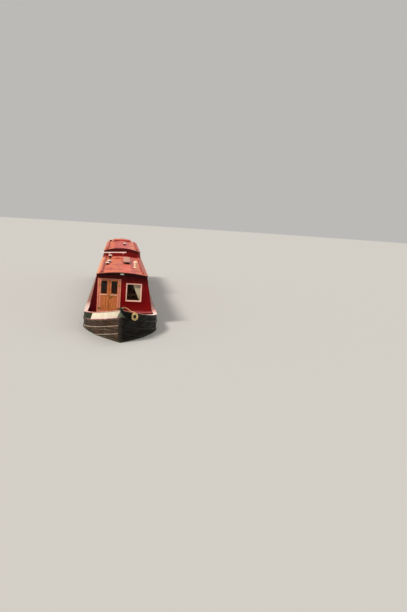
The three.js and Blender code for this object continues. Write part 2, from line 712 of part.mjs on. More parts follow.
function raisedRoof() {
  const low = underRoof(RAISED, RUNNER.y) + ROOF_THICK / 2;
  const runner = block(RUNNER.from, RAISED.to - RUNNER.endsBefore,
    RUNNER.y - RUNNER.wide / 2, RUNNER.y + RUNNER.wide / 2, low, runnerTop());
  const hole = block(HATCH.from, HATCH.to, -HATCH.half, HATCH.half, RAISED.edge - 300, RAISED.edge + 300);
  return cut(joined(roofPanel(RAISED), runner, mirrored(runner)), hole);
}

function hatchSlide() {
  const z = runnerTop() + GAP;
  const crown = (y) => SLIDE.rise * (1 - (y / SLIDE.half) ** 2);
  const top = range(SLIDE.half, -SLIDE.half, 10).map((y) => [y, z + SLIDE.thick + crown(y)]);
  const drop = z - SLIDE.lip;
  const inner = SLIDE.half - SLIDE.wall;
  const outline = [...top, [-SLIDE.half, drop], [-inner, drop], [-inner, z], [inner, z], [inner, drop],
    [SLIDE.half, drop]];
  return slab(outline, HATCH.from - SLIDE.over, RAISED.to - RUNNER.endsBefore);
}

// Doors. A leaf is drawn from its hinge, across +y, facing +x, with its pin on the z axis.

function doorLeaf(width, height, panes, panels) {
  const front = -(LEAF.pin + GAP) + LEAF.ahead;
  const panel = new THREE.BoxGeometry(LEAF.thick, width, height)
    .translate(front - LEAF.thick / 2, LEAF.clear + width / 2, height / 2);
  const tool = (middle, deep) => ({ yA, yB, zA, zB }) =>
    new THREE.BoxGeometry(deep, yB - yA, zB - zA).translate(middle, (yA + yB) / 2, (zA + zB) / 2);
  const holes = panes.map(tool(front - LEAF.thick / 2, LEAF.thick * 3));
  const hollows = panels.map(tool(front, 2 * LEAF.sunk));
  const hinges = HINGE.places.flatMap((share) => {
    const barrel = new THREE.CylinderGeometry(LEAF.pin, LEAF.pin, HINGE.long, 12).rotateX(Math.PI / 2)
      .translate(0, 0, height * share);
    const strap = new THREE.BoxGeometry(HINGE.thick, HINGE.strap, HINGE.deep)
      .translate(front + HINGE.thick / 2 - 0.5, HINGE.strap / 2, height * share);
    return [barrel, strap];
  });
  return cut(joined(cut(panel, ...hollows), ...hinges), ...holes);
}

// Put a leaf in place: where its pin stands, which way it faces and on which side it is hung
function hang(leaf, station, y, z, facing, side) {
  const placed = side > 0 ? leaf.clone() : mirrored(leaf);
  if (facing < 0) placed.rotateZ(Math.PI);
  return placed.translate(xAt(station), y, z);
}

// A pair of leaves that meet in the middle of a clear opening and swing outwards
function hungPair(name, clear, faceStation, facing, panes, panels) {
  const pinInset = 2;
  const width = (clear.yB - clear.yA) / 2 - pinInset - LEAF.clear * 1.5;
  const leaf = doorLeaf(width, clear.zB - clear.zA - 2 * LEAF.clear, panes, panels);
  const pinAt = faceStation - facing * (LEAF.pin + GAP);
  const z = clear.zA + LEAF.clear;
  add(`${name}_port`, hang(leaf, pinAt, clear.yB - pinInset, z, facing, -facing), VARNISHED);
  add(`${name}_starboard`, hang(leaf, pinAt, clear.yA + pinInset, z, facing, facing), VARNISHED);
}

// Stern gear

function sternPost() {
  const post = block(STERN_POST_AT, STERN_POST_AT + 60, -STERN_POST_HALF, STERN_POST_HALF, BASE_Z,
    UXTER_Z - DECK_PLATE - GAP);
  const { radius, long } = STERN_TUBE;
  return joined(post, bar(radius, long, 'x', xAt(STERN_POST_AT + long / 2), 0, SHAFT_Z));
}

function propeller() {
  const { radius, hub, long, at, shaft, blade, pitch } = PROPELLER;
  const from = STERN_POST_AT + STERN_TUBE.long + GAP;
  const to = at + 80;
  const core = bar(shaft, to - from, 'x', xAt((to + from) / 2), 0, SHAFT_Z);
  const boss = bar(hub, long, 'x', xAt(at), 0, SHAFT_Z, 24);
  const outline = new THREE.Shape();
  outline.moveTo(-40, 0).bezierCurveTo(-150, 60, -110, radius, 0, radius)
    .bezierCurveTo(110, radius, 130, 70, 40, 0);
  const flat = new THREE.ExtrudeGeometry(outline, { depth: blade, bevelEnabled: false, curveSegments: 8 })
    .translate(0, 0, -blade / 2).rotateX(Math.PI / 2).rotateZ(Math.PI / 2 - pitch);
  const blades = [0, 1, 2].map((i) =>
    flat.clone().rotateX((i * Math.PI * 2) / 3).translate(xAt(at), 0, SHAFT_Z));
  return joined(core, boss, ...blades);
}

function rudder() {
  const stockTop = TUBE_TOP + 60;
  const stock = bar(STOCK, stockTop - RUDDER_FOOT, 'z', xAt(RUDDER_AT), 0,
    (stockTop + RUDDER_FOOT) / 2);
  const outline = new THREE.Shape(RUDDER_PLATE.outline.map(([x, z]) => new THREE.Vector2(x, z)));
  const plate = new THREE.ExtrudeGeometry(outline, { depth: RUDDER_PLATE.thick, bevelEnabled: false })
    .rotateX(Math.PI / 2).translate(0, RUDDER_PLATE.thick / 2, 0).rotateZ(Math.PI)
    .translate(xAt(RUDDER_AT), 0, RUDDER_PLATE.from);
  const swan = tube(NECK.points.map(([x, z]) => [xAt(RUDDER_AT) + x, 0, TUBE_TOP + z]), NECK.radius, 16);
  const socket = bar(SOCKET.radius, SOCKET.long, 'x', xAt(RUDDER_AT) + SOCKET.end - SOCKET.long / 2, 0,
    TILLER_Z, 16);
  const collar = bar(40, 30, 'z', xAt(RUDDER_AT), 0, TUBE_TOP + GAP + 15);
  return joined(stock, plate, swan, collar, socket);
}

function tiller() {
  const middle = xAt(RUDDER_AT) + SOCKET.end + GAP + TILLER.long / 2;
  return bar(TILLER.radius, TILLER.long, 'x', middle, 0, TILLER_Z, 16);
}

// Roof fittings

function handrail(roof, { y, from, to }) {
  const top = roofTop(roof, y) + RAIL.high;
  const rail = block(from, to, y - RAIL.wide / 2, y + RAIL.wide / 2, top - RAIL.deep, top);
  const gaps = Math.round((to - from) / RAIL.spacing);
  const [inner, outer] = [y - RAIL.postWide / 2, y + RAIL.postWide / 2];
  const foot = roofTop(roof, inner) + GAP;
  const posts = range(from + RAIL.inset, to - RAIL.inset, gaps).map((station) =>
    block(station - RAIL.post / 2, station + RAIL.post / 2, inner, outer, foot, top - 10));
  return joined(rail, ...posts);
}

// A turned fitting from [radius, height] points, standing at a station, y and height
function turned(profile, station, y, z, sides) {
  return new THREE.LatheGeometry(profile.map(([r, h]) => new THREE.Vector2(r, h)), sides)
    .rotateX(Math.PI / 2).translate(xAt(station), y, z);
}

// The roof's own body near a fitting, grown by the gap, to cut the fitting's foot to the camber
function roofBody(roof, station, y, reach) {
  const across = range(y - reach, y + reach, Math.ceil(reach / 15));
  const top = across.map((v) => [v, roofTop(roof, v) + GAP]);
  const low = roof.edge - 400;
  return slab([...top, [y + reach, low], [y - reach, low]], station - reach, station + reach);
}

function mushroomVent({ roof, at, y, collar }) {
  const foot = [[0, -14], [62, -14], [62, 4], [45, 8]];
  const head = [[45, 40], [78, 42], [84, 52], [74, 74], [45, 92], [0, 100]];
  const profile = [...foot, ...head.map(([r, h]) => [r, h + collar])];
  return cut(turned(profile, at, y, roofTop(roof, y) + 3, 16), roofBody(roof, at, y, 120));
}

function flue() {
  const pipeAndCap = [[75, 12], [48, 16], [48, 160], [66, 164], [70, 176], [48, 202], [0, 214]];
  const profile = [[0, -14], [75, -14], ...pipeAndCap];
  const pipe = turned(profile, FLUE.at, FLUE.y, roofTop(MAIN, FLUE.y), 28);
  return cut(pipe, roofBody(MAIN, FLUE.at, FLUE.y, 120));
}

// A boarding plank stowed along the roof on two low bearers
function gangPlank() {
  const { from, to, yA, yB, top, thick } = PLANK;
  const { at, wide } = PLANK_BEARERS;
  const board = block(from, to, yA, yB, top - thick, top);
  const bearers = at.map((station) =>
    block(station - wide / 2, station + wide / 2, yA + 10, yB - 10, roofTop(MAIN, yB) - 20, top - thick + 5));
  const under = roofBody(MAIN, (from + to) / 2, (yA + yB) / 2, (to - from) / 2);
  return cut(joined(board, ...bearers), under);
}

function roofHatch() {
  const { from, to, yA, yB, high, crown } = ROOF_HATCH;
  const middle = (yA + yB) / 2;
  const top = Math.min(roofTop(MAIN, yA), roofTop(MAIN, yB)) + high;
  const low = MAIN.edge;
  const lid = slab([[yA, low], [yB, low], [yB, top], [middle, top + crown], [yA, top]], from, to);
  return cut(lid, roofBody(MAIN, (from + to) / 2, middle, (to - from) / 2 + 10));
}

function staff() {
  const { at, radius, long, y, z, lean, feet, foot } = STAFF;
  const pole = bar(radius, long, 'y', 0, 0, 0, 16).rotateX(lean).translate(xAt(at), y, z);
  const rests = feet.map((v) => block(at - foot / 2, at + foot / 2, v - foot / 2, v + foot / 2,
    roofTop(MAIN, v) - 10, z + lean * (v - y) - radius / 2));
  return cut(joined(pole, ...rests), roofBody(MAIN, at, y, 500));
}

function frontLamp() {
  const z = underRoof(MAIN, LAMP.yA) - ARC_GAP;
  return block(MAIN.from + LAMP.from, MAIN.from + LAMP.to, LAMP.yA, LAMP.yB, z - LAMP.high, z);
}

// Deck fittings and rope

function tStud() {
  const z = foredeckZ(STUD.at);
  const post = bar(STUD.post, STUD.high, 'z', xAt(STUD.at), 0, z + STUD.high / 2 - 8);
  const arm = bar(STUD.arm, STUD.wide, 'y', xAt(STUD.at), 0, z + STUD.high - 35, 16);
  return joined(post, arm);
}

function dolly(y) {
  const profile = [[0, -5], [34, -5], [34, 6], [20, 12], [22, 70], [34, 90], [34, 104], [0, 112]];
  return turned(profile, DOLLY.at, y, GUNWALE_Z, 16);
}

function sternDeck() {
  const plate = deck(counterOutline(), GUNWALE_Z - DECK_PLATE, GUNWALE_Z);
  const hole = bar(TUBE_RADIUS + 0.6, 100, 'z', xAt(RUDDER_AT), 0, GUNWALE_Z);
  const ledge = block(COUNTER_START - 10, REAR_BULKHEAD_AT + 1, CABIN_HALF - WALL - 1,
    CABIN_HALF + LEDGE_CLEAR, GUNWALE_Z - LEDGE, GUNWALE_Z + 50);
  return cut(joined(plate, dolly(DOLLY.y), dolly(-DOLLY.y)), hole, ledge, mirrored(ledge));
}

function counterOutline() {
  const half = GUNWALE_HALF + DECK_LIP;
  const arc = COUNTER_STEPS.map((turn) => counterPoint(turn, GUNWALE_HALF, -DECK_LIP));
  return [[COUNTER_START, half], ...arc, [COUNTER_START, -half]];
}

function engine() {
  return block(ENGINE.from, ENGINE.to, -ENGINE.half, ENGINE.half, BASE_Z, ENGINE.top);
}

function ropeTail() {
  return tube(TAIL.map(([station, y, z]) => [xAt(station), y, z]), ROPE.radius, 30);
}

// The bundle of turns. It leans on the bow's skin with one edge, its axis turned towards the bow.
function ropeCoil() {
  const here = bowPoint(COIL.along, COIL.z, 0);
  const behind = bowPoint(COIL.along + 0.01, COIL.z, 0);
  const above = bowPoint(COIL.along, COIL.z + 20, 0);
  const out = above.sub(here).cross(behind.sub(here)).normalize();
  if (out.y < 0) out.negate();
  const ring = range(0, 2 * Math.PI, 10).map((turn) =>
    new THREE.Vector2(ROPE.coil + ROPE.bundle * Math.cos(turn), ROPE.bundle * Math.sin(turn)));
  const place = here.addScaledVector(out, COIL.standsOff);
  const axis = out.clone().applyAxisAngle(new THREE.Vector3(0, 0, 1), -THREE.MathUtils.degToRad(COIL.turned));
  return new THREE.LatheGeometry(ring, 24)
    .applyQuaternion(new THREE.Quaternion().setFromUnitVectors(new THREE.Vector3(0, 1, 0), axis))
    .translate(place.x, place.y, place.z);
}

bothSides('bow_side', bowSide(), BLACKING);
bothSides('hull_side', straightSide(BASE_Z, BOW_END + GAP, SWIM_START), BLACKING);
bothSides('stern_side', straightSide(UXTER_Z, SWIM_START + GAP, COUNTER_START), BLACKING);
bothSides('swim', swimPlate(), BLACKING);
bothSides('bow_capping', bowCapping(), DECK_PINK);
bothSides('side_deck', sideDeck(), DECK_PINK);
bothSides('cabin_side', cabinSide(MAIN, BULKHEAD_AT + WALL + GAP, STEP_AT - GAP, MAIN_WINDOWS), CRIMSON);
bothSides('raised_side', cabinSide(RAISED, STEP_AT, REAR_BULKHEAD_AT, RAISED_WINDOWS), CRIMSON);
bothSides('handrail_main', handrail(MAIN, MAIN_RAIL), CRIMSON);
bothSides('handrail_raised', handrail(RAISED, RAISED_RAIL), CRIMSON);
add('base_plate', basePlate(), BLACKING);
add('stem_post', stemPost(), BLACKING);
add('counter_band', counterBand(), BLACKING);
add('uxter_plate', uxterPlate(), BLACKING);
add('stern_post', sternPost(), STEEL);
add('foredeck', foredeck(), DECK_PINK);
add('foredeck_bulkhead', foredeckBulkhead(), DECK_PINK);
add('locker_lid', lockerLid(), DECK_PINK);
add('well_floor', wellFloor(), DECK_PINK);
add('cabin_floor', cabinFloor(), FLOOR_PLY);
add('front_bulkhead', frontBulkhead(), CRIMSON);
const frontLining = lining(FRONT_DOOR, FRONT_CLEAR, BULKHEAD_AT - FRAME_PROUD, BULKHEAD_AT + WALL);
const rearLining = lining(REAR_DOOR, REAR_CLEAR, REAR_BULKHEAD_AT - WALL, REAR_BULKHEAD_AT + FRAME_PROUD);
add('front_door_frame', frontLining, PALE_WOOD);
add('rear_door_frame', rearLining, VARNISHED);
hungPair('front_door', FRONT_CLEAR, BULKHEAD_AT - FRAME_PROUD, 1, [FRONT_PANE], FRONT_PANELS);
hungPair('rear_door', REAR_CLEAR, REAR_BULKHEAD_AT + FRAME_PROUD, -1, [], REAR_PANELS);
add('front_window_frame', windowFrame(), PALE_WOOD);
add('main_roof', roofPanel(MAIN), ROOF_RED);
add('step_face', stepFace(), CRIMSON);
add('raised_roof', raisedRoof(), ROOF_RED);
add('rear_bulkhead', rearBulkhead(), CRIMSON);
add('hatch_slide', hatchSlide(), ROOF_RED);
add('stern_deck', sternDeck(), DECK_PINK);
add('propeller', propeller(), BRASS);
add('rudder', rudder(), BLACKING);
add('tiller', tiller(), BRASS);
add('engine', engine(), GREY);
add('flue', flue(), CREAM);
add('gang_plank', gangPlank(), OLD_BOARD);
add('roof_hatch', roofHatch(), ROOF_RED);
add('roof_staff', staff(), WHITE);
add('front_lamp', frontLamp(), GREY);
VENTS.forEach((vent, i) => add(`roof_vent_${i + 1}`, mushroomVent(vent), WHITE));
add('rope_tail', ropeTail(), HEMP);
add('rope_coil', ropeCoil(), HEMP);

export default boat;
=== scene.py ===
# A steel canal narrowboat, 57 ft long, afloat, seen from ahead of its bow and a little above.
# Metres, in the frame of the solids: +X to the bow, +Y to port, +Z up from the flat base plate.
# A station is a distance aft of the stem, as boat builders give it.
from math import atan, cos, pi, radians, sin

import bmesh
import bpy
from mathutils import Matrix, Vector


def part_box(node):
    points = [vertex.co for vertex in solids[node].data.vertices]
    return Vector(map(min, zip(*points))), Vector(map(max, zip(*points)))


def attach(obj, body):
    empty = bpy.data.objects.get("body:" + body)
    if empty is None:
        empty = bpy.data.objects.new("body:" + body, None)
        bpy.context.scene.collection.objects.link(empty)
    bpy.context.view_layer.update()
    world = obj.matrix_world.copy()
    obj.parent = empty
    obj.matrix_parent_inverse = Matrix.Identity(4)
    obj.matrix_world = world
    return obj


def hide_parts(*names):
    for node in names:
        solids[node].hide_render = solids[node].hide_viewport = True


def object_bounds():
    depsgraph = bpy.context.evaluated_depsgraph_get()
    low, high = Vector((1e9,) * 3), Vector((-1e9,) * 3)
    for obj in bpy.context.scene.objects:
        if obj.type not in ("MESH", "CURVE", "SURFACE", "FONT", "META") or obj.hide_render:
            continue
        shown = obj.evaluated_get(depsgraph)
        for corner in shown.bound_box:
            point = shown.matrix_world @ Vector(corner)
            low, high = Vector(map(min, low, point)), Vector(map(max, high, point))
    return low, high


scene = bpy.context.scene
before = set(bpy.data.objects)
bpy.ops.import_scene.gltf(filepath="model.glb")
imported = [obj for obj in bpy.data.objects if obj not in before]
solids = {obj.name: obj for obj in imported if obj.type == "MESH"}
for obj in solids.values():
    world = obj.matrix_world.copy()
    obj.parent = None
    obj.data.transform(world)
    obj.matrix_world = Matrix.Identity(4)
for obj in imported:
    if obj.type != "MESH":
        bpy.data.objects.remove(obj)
solid_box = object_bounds()

# The viewpoint, ahead of the bow and 3.4 m above the waterline, looking aft, with the boat left of
# the middle. Its place and turn come from the corners of the cabin and the windows.
STEM_X = solid_box[1].x
WATERLINE = 0.64
EYE = Vector((STEM_X + 17.38, -0.15, WATERLINE + 3.37))
EYE_YAW = radians(-7.21)
EYE_PITCH = radians(7.56)
EYE_ROLL = radians(3.72)
FOCAL_PIXELS = 700
FRAME_PIXELS = 612
SENSOR = 24.0

ahead = -Vector((cos(EYE_YAW) * cos(EYE_PITCH), sin(EYE_YAW) * cos(EYE_PITCH), sin(EYE_PITCH)))
level_right = ahead.cross(Vector((0, 0, 1))).normalized()
level_up = level_right.cross(ahead)
eye_right = level_right * cos(EYE_ROLL) + level_up * sin(EYE_ROLL)
eye_up = level_up * cos(EYE_ROLL) - level_right * sin(EYE_ROLL)


def add_object(name, data):
    made = bpy.data.objects.new(name, data)
    scene.collection.objects.link(made)
    return made


view = bpy.data.cameras.new("bow_camera")
view.sensor_fit = "VERTICAL"
view.sensor_height = SENSOR
view.sensor_width = SENSOR
view.lens = SENSOR * FOCAL_PIXELS / FRAME_PIXELS
view.clip_end = 400
camera = add_object("bow_camera", view)
camera.matrix_world = Matrix.Translation(EYE) @ Matrix((eye_right, eye_up, -ahead)).transposed().to_4x4()
scene.camera = camera

# The bow's mooring rope. Three-strand natural rope, 14 mm thick, with an eye spliced over the arm
# of the T-shaped stud. Its tail goes over the port gunwale and the rest hangs there, coiled.
ROPE_RADIUS = 0.007
ROPE_STEP = 0.0045
ROPE_SIDES = 12
ROPE_SMOOTH = 80
STRANDS = 3
LAY_LENGTH = 0.048
STRAND_DEPTH = 0.16
TAIL_POINTS = [
    (0.381, 0.044, 1.4955), (0.384, 0.092, 1.494), (0.39, 0.16, 1.465), (0.399, 0.232, 1.417),
    (0.406, 0.284, 1.396), (0.4095, 0.318, 1.3915), (0.4116, 0.342, 1.386), (0.412, 0.347, 1.3718),
]
COIL_RADIUS = 0.076
COIL_OUT = Vector((0.835, 0.55, 0.013)).normalized()
COIL_STARTS_AT = radians(38)
TURN_SPACING = 0.0144
TURN_ORDER = [(1, 1), (1, 0), (1, -1), (0, -1), (0, 0), (0, 1), (-1, 1), (-1, 0), (-1, -1)]
POINTS_A_TURN = 40
POINTS_LEFT_OFF = 3
CROSSING_FROM = 0.84
CROSSING_SHARE = 0.16
CROSSING_MOVES_A_TURN = 0.1


def linear(screen):
    """A screen colour, 0 to 255, as the linear colour that shaders take."""
    return [((v / 255 + 0.055) / 1.055) ** 2.4 if v > 10 else v / 255 / 12.92 for v in screen]


def shader_math(operation):
    """A method that works out one mask from another and a mask or number."""
    def work_out(mask, other=0.0):
        made = mask.finish.node("ShaderNodeMath", {0: mask, 1: other}, operation=operation)
        return Mask(mask.finish, made.outputs[0])

    return work_out


class Mask:
    """A number at each point of a surface, mostly 0 to 1, that adds and multiplies as numbers do."""

    def __init__(self, finish, socket):
        self.finish = finish
        self.socket = socket

    __add__ = shader_math("ADD")
    __sub__ = shader_math("SUBTRACT")
    __mul__ = shader_math("MULTIPLY")
    __truediv__ = shader_math("DIVIDE")
    __pow__ = shader_math("POWER")
    __abs__ = shader_math("ABSOLUTE")
    either = shader_math("MAXIMUM")

    def __rsub__(self, number):
        return self * -1.0 + number

    def step(self, low, high):
        """0 below low, 1 above high, smooth between them. Falls instead if low is above high."""
        limits = {0: self, 1: low, 2: high}
        made = self.finish.node("ShaderNodeMapRange", limits, interpolation_type="SMOOTHSTEP")
        return Mask(self.finish, made.outputs[0])

    def band(self, low, high, soft=0.003):
        return self.step(low - soft, low + soft) * self.step(high + soft, high - soft)

    def blend(self, under, over):
        """The colour under where this is 0, and the colour over where it is 1."""
        return self.finish.node("ShaderNodeMix", {0: self, 6: under, 7: over}, data_type="RGBA").outputs[2]


def layered(base, *coats):
    """A colour with coats over it. Each is a mask and the colour that shows where the mask is 1."""
    for mask, over in coats:
        base = mask.blend(base, over)
    return base


class Finish:
    """One surface finish: a Principled shader fed by masks in the boat's own frame."""

    def __init__(self, name, roughness=0.5, metallic=0.0, coat=0.0, gloss=0.5):
        self.material = bpy.data.materials.new(name)
        self.material.use_nodes = True
        self.tree = self.material.node_tree
        self.shader = self.tree.nodes["Principled BSDF"]
        inputs = self.shader.inputs
        inputs["Roughness"].default_value = roughness
        inputs["Metallic"].default_value = metallic
        inputs["Coat Weight"].default_value = coat
        inputs["Coat Roughness"].default_value = 0.1
        inputs["Specular IOR Level"].default_value = gloss
        self.place = self.tree.nodes.new("ShaderNodeTexCoord").outputs["Object"]
        parts = self.node("ShaderNodeSeparateXYZ", {0: self.place})
        self.x, self.y, self.z = (Mask(self, output) for output in parts.outputs)
        self.height = None

    def node(self, kind, inputs, **settings):
        made = self.tree.nodes.new(kind)
        for key, value in settings.items():
            setattr(made, key, value)
        for key, value in inputs.items():
            self.feed(made.inputs[key], value)
        return made

    def feed(self, socket, value):
        """Sets a socket from a mask, another node's output, a screen colour or a number."""
        if isinstance(value, Mask):
            value = value.socket
        if isinstance(value, bpy.types.NodeSocket):
            self.tree.links.new(value, socket)
        elif socket.type == "RGBA":
            socket.default_value = (*linear(value), 1)
        else:
            socket.default_value = value

    def texture(self, kind, stretch, **inputs):
        mapped = self.node("ShaderNodeMapping", {0: self.place, "Scale": stretch})
        return Mask(self, self.node(kind, {0: mapped.outputs[0], **inputs}).outputs[0])

    def noise(self, scale, detail=3.0, stretch=(1, 1, 1)):
        """Noise from 0 to 1 with about scale lumps a metre, stretched along an axis below 1."""
        return self.texture("ShaderNodeTexNoise", stretch, Scale=scale, Detail=detail).step(0.32, 0.68)

    def spots(self, scale, low, high):
        """Spots at random places, about scale a metre: 1 inside low, 0 outside high."""
        return self.texture("ShaderNodeTexVoronoi", (1, 1, 1), Scale=scale).step(high, low)

    def paint(self, base, *coats):
        self.feed(self.shader.inputs["Base Color"], layered(base, *coats))

    def rough(self, value):
        self.feed(self.shader.inputs["Roughness"], value)

    def relief(self, height, depth):
        """Adds bumps: a height from 0 to 1 that stands depth metres high."""
        raised = height * depth
        self.height = self.height + raised if self.height else raised
        bump = self.node("ShaderNodeBump", {"Height": self.height, "Distance": 1.0, "Strength": 1.0})
        self.feed(self.shader.inputs["Normal"], bump.outputs[0])


def cover(data, finish, smooth_below):
    """Gives a mesh its finish, with edges sharp from smooth_below degrees on."""
    data.materials.append(finish.material)
    data.polygons.foreach_set("use_smooth", [True] * len(data.polygons))
    data.set_sharp_from_angle(angle=radians(smooth_below))


def mesh_of(shape, name):
    data = bpy.data.meshes.new(name)
    shape.to_mesh(data)
    shape.free()
    return data


def add_piece(name, shape, finish, body="boat", smooth_below=40):
    """Makes an object of a bmesh, in the boat's frame, that rides on a body."""
    bmesh.ops.recalc_face_normals(shape, faces=shape.faces)
    made = add_object(name, mesh_of(shape, name))
    cover(made.data, finish, smooth_below)
    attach(made, body)
    return made


def sweep(shape, route, section_at, closed=False):
    """A skin along a route. section_at(i, distance) gives the section's (across, up) points."""
    rings = []
    distance = 0.0
    across = None
    count = len(route)
    for i, point in enumerate(route):
        before = route[i - 1] if closed or i else route[0]
        after = route[(i + 1) % count] if closed or i + 1 < count else route[-1]
        along = (after - before).normalized()
        if across is None:
            across = along.orthogonal().normalized()
        across = (across - along * across.dot(along)).normalized()
        up = along.cross(across)
        if i:
            distance += (point - route[i - 1]).length
        rings.append([shape.verts.new(point + across * a + up * b) for a, b in section_at(i, distance)])
    skin(shape, rings, closed)
    if not closed:
        cap_ends(shape, rings)


def skin(shape, rings, closed=False):
    for lower, upper in zip(rings, rings[1:] + (rings[:1] if closed else [])):
        for i in range(len(lower)):
            j = (i + 1) % len(lower)
            shape.faces.new((lower[i], lower[j], upper[j], upper[i]))


def cap_ends(shape, rings):
    shape.faces.new(list(reversed(rings[0])))
    shape.faces.new(rings[-1])


def turns(count):
    return [2 * pi * i / count for i in range(count)]


def circle(radius, sides):
    return [(radius * cos(turn), radius * sin(turn)) for turn in turns(sides)]


def laid_rope(shape, route, closed=False):
    """Three strands twisted together, as one skin with three lobes that turn along the route."""
    def section(_, distance):
        points = []
        twist = 2 * pi * distance / LAY_LENGTH
        for turn in turns(ROPE_SIDES):
            lobe = abs(sin(STRANDS * (turn - twist) / 2))
            radius = ROPE_RADIUS * (1 - STRAND_DEPTH + STRAND_DEPTH * lobe)
            points.append((radius * cos(turn), radius * sin(turn)))
        return points

    sweep(shape, route, section, closed)


def smooth_through(points, parts):
    """A smooth line through points, with parts steps between each two of them."""
    padded = [points[0] * 2 - points[1], *points, points[-1] * 2 - points[-2]]
    line = []
    for a, b, c, d in zip(padded, padded[1:], padded[2:], padded[3:]):
        for i in range(parts):
            t = i / parts
            line.append(0.5 * (2 * b + (c - a) * t + (2 * a - 5 * b + 4 * c - d) * t * t
                               + (3 * b - a - 3 * c + d) * t ** 3))
    return [*line, points[-1]]


def length_of(line):
    return sum((b - a).length for a, b in zip(line, line[1:]))


def even_steps(line, spacing):
    """The same line with points an equal distance apart."""
    total = length_of(line)
    count = max(round(total / spacing), 2)
    made = [line[0]]
    walked = 0.0
    wanted = total / count
    for a, b in zip(line, line[1:]):
        long = (b - a).length
        while walked + long >= wanted - 1e-9 and len(made) < count:
            made.append(a + (b - a) * ((wanted - walked) / long))
            wanted += total / count
        walked += long
    return [*made, line[-1]]


def coil_line():
    """The coiled part. Each turn keeps its place in the bundle, then steps across to the next."""
    low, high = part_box("rope_coil")
    middle = (low + high) / 2
    up = (Vector((0, 0, 1)) - COIL_OUT * COIL_OUT.z).normalized()
    side = up.cross(COIL_OUT)
    line = []
    first = round(COIL_STARTS_AT / (2 * pi) * POINTS_A_TURN)
    for i in range(first, len(TURN_ORDER) * POINTS_A_TURN - POINTS_LEFT_OFF):
        turn = i // POINTS_A_TURN
        share = i / POINTS_A_TURN - turn
        moved = (share - CROSSING_FROM + CROSSING_MOVES_A_TURN * turn) / CROSSING_SHARE
        moved = min(max(moved, 0), 1)
        moved = moved * moved * (3 - 2 * moved)
        here = TURN_ORDER[turn]
        there = TURN_ORDER[min(turn + 1, len(TURN_ORDER) - 1)]
        radial, axial = ((a + (b - a) * moved) * TURN_SPACING for a, b in zip(here, there))
        angle = 2 * pi * share
        outward = up * cos(angle) + side * sin(angle)
        line.append(middle + outward * (COIL_RADIUS + radial) + COIL_OUT * axial)
    return line


rope = Finish("natural_rope", roughness=0.85)
fibres = rope.noise(900, 2)
grimy = rope.noise(30, 4).step(0.55, 1.0)
rope.paint(fibres.blend((212, 172, 92), (255, 236, 172)), (grimy, (120, 92, 52)))
rope.relief(fibres, 0.0004)
rope.shader.inputs["Sheen Weight"].default_value = 0.3
tail_line = smooth_through([Vector((STEM_X - s, y, z)) for s, y, z in TAIL_POINTS], 4)
turns_line = coil_line()
into_coil = smooth_through([tail_line[-2], tail_line[-1], turns_line[0], turns_line[1]], 8)[8:16]
rope_route = even_steps([*tail_line, *into_coil[1:], *turns_line], ROPE_STEP)
shape = bmesh.new()
laid_rope(shape, rope_route)
mooring_rope = add_piece("mooring_rope", shape, rope, smooth_below=ROPE_SMOOTH)

# The eye round the stud's arm, a closed ring of the same laid rope. Waxed twine is bound round the
# throat of its splice, and round the rope's far end to keep the strands together.
EYE_CENTRE = Vector((STEM_X - 0.38, 0.0365, 1.4662))
EYE_RADIUS = 0.0275
TWINE_RADIUS = 0.0074
TWINE_RIDGE = 0.0003
shape = bmesh.new()
eye_route = [EYE_CENTRE + Vector((sin(turn), 0, cos(turn))) * EYE_RADIUS
             for turn in turns(round(2 * pi * EYE_RADIUS / ROPE_STEP))]
laid_rope(shape, eye_route, closed=True)
rope_eye = add_piece("rope_eye", shape, rope, smooth_below=ROPE_SMOOTH)
twine = Finish("waxed_twine", roughness=0.6)
twine.paint(twine.noise(400, 1).blend((60, 48, 34), (104, 86, 60)))
twine.relief(twine.noise(700, 1, (1, 1, 0.4)), 0.0003)


def twine_binding(name, route):
    shape = bmesh.new()
    sweep(shape, route, lambda i, _: circle(TWINE_RADIUS + TWINE_RIDGE * (i % 2), 12))
    return add_piece(name, shape, twine)


splice_binding = twine_binding("splice_binding", rope_route[1:9])
end_whipping = twine_binding("end_whipping", rope_route[-7:])
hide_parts("rope_tail", "rope_coil")

# The floor, plain and pale, at the waterline. It has a hole where the hull stands in it, so that
# none of it shows inside the cabin. The light is soft, and most of it falls from starboard.
HOLE_INSIDE_PLATE = 0.02
HULL_HALF = 1.018
BOW_STARTS = 0.08
BOW_LONG = 2.43
COUNTER_STARTS = 16.25
COUNTER_LONG = 1.05
FLOOR_REACH = 120.0
port_half = []
for share in (i / 32 for i in range(33)):
    along = share ** 1.4
    port_half.append((BOW_STARTS + BOW_LONG * along, HULL_HALF * (1 - (1 - along) ** 1.9)))
for turn in turns(96)[:25]:
    port_half.append((COUNTER_STARTS + COUNTER_LONG * sin(turn), HULL_HALF * cos(turn)))
port_half = [(STEM_X - station, max(y - HOLE_INSIDE_PLATE, 0)) for station, y in port_half]
hole = port_half + [(x, -y) for x, y in reversed(port_half[1:-1])]
shape = bmesh.new()
skin(shape, [[shape.verts.new((x, y, WATERLINE)) for x, y in ring]
             for ring in (hole, circle(FLOOR_REACH, len(hole)))])
for face in shape.faces:
    face.normal_flip()
water_floor = add_object("water_floor", mesh_of(shape, "water_floor"))
pale_floor = Finish("pale_floor", roughness=0.9, gloss=0.0)
pale_floor.paint((187.5, 185.8, 182.4))
water_floor.data.materials.append(pale_floor.material)

world = bpy.data.worlds.new("soft_sky")
world.use_nodes = True
background = world.node_tree.nodes["Background"].inputs
background["Color"].default_value = (1.0, 0.98, 0.95, 1)
background["Strength"].default_value = 0.5
scene.world = world
scene.view_settings.view_transform = "Standard"


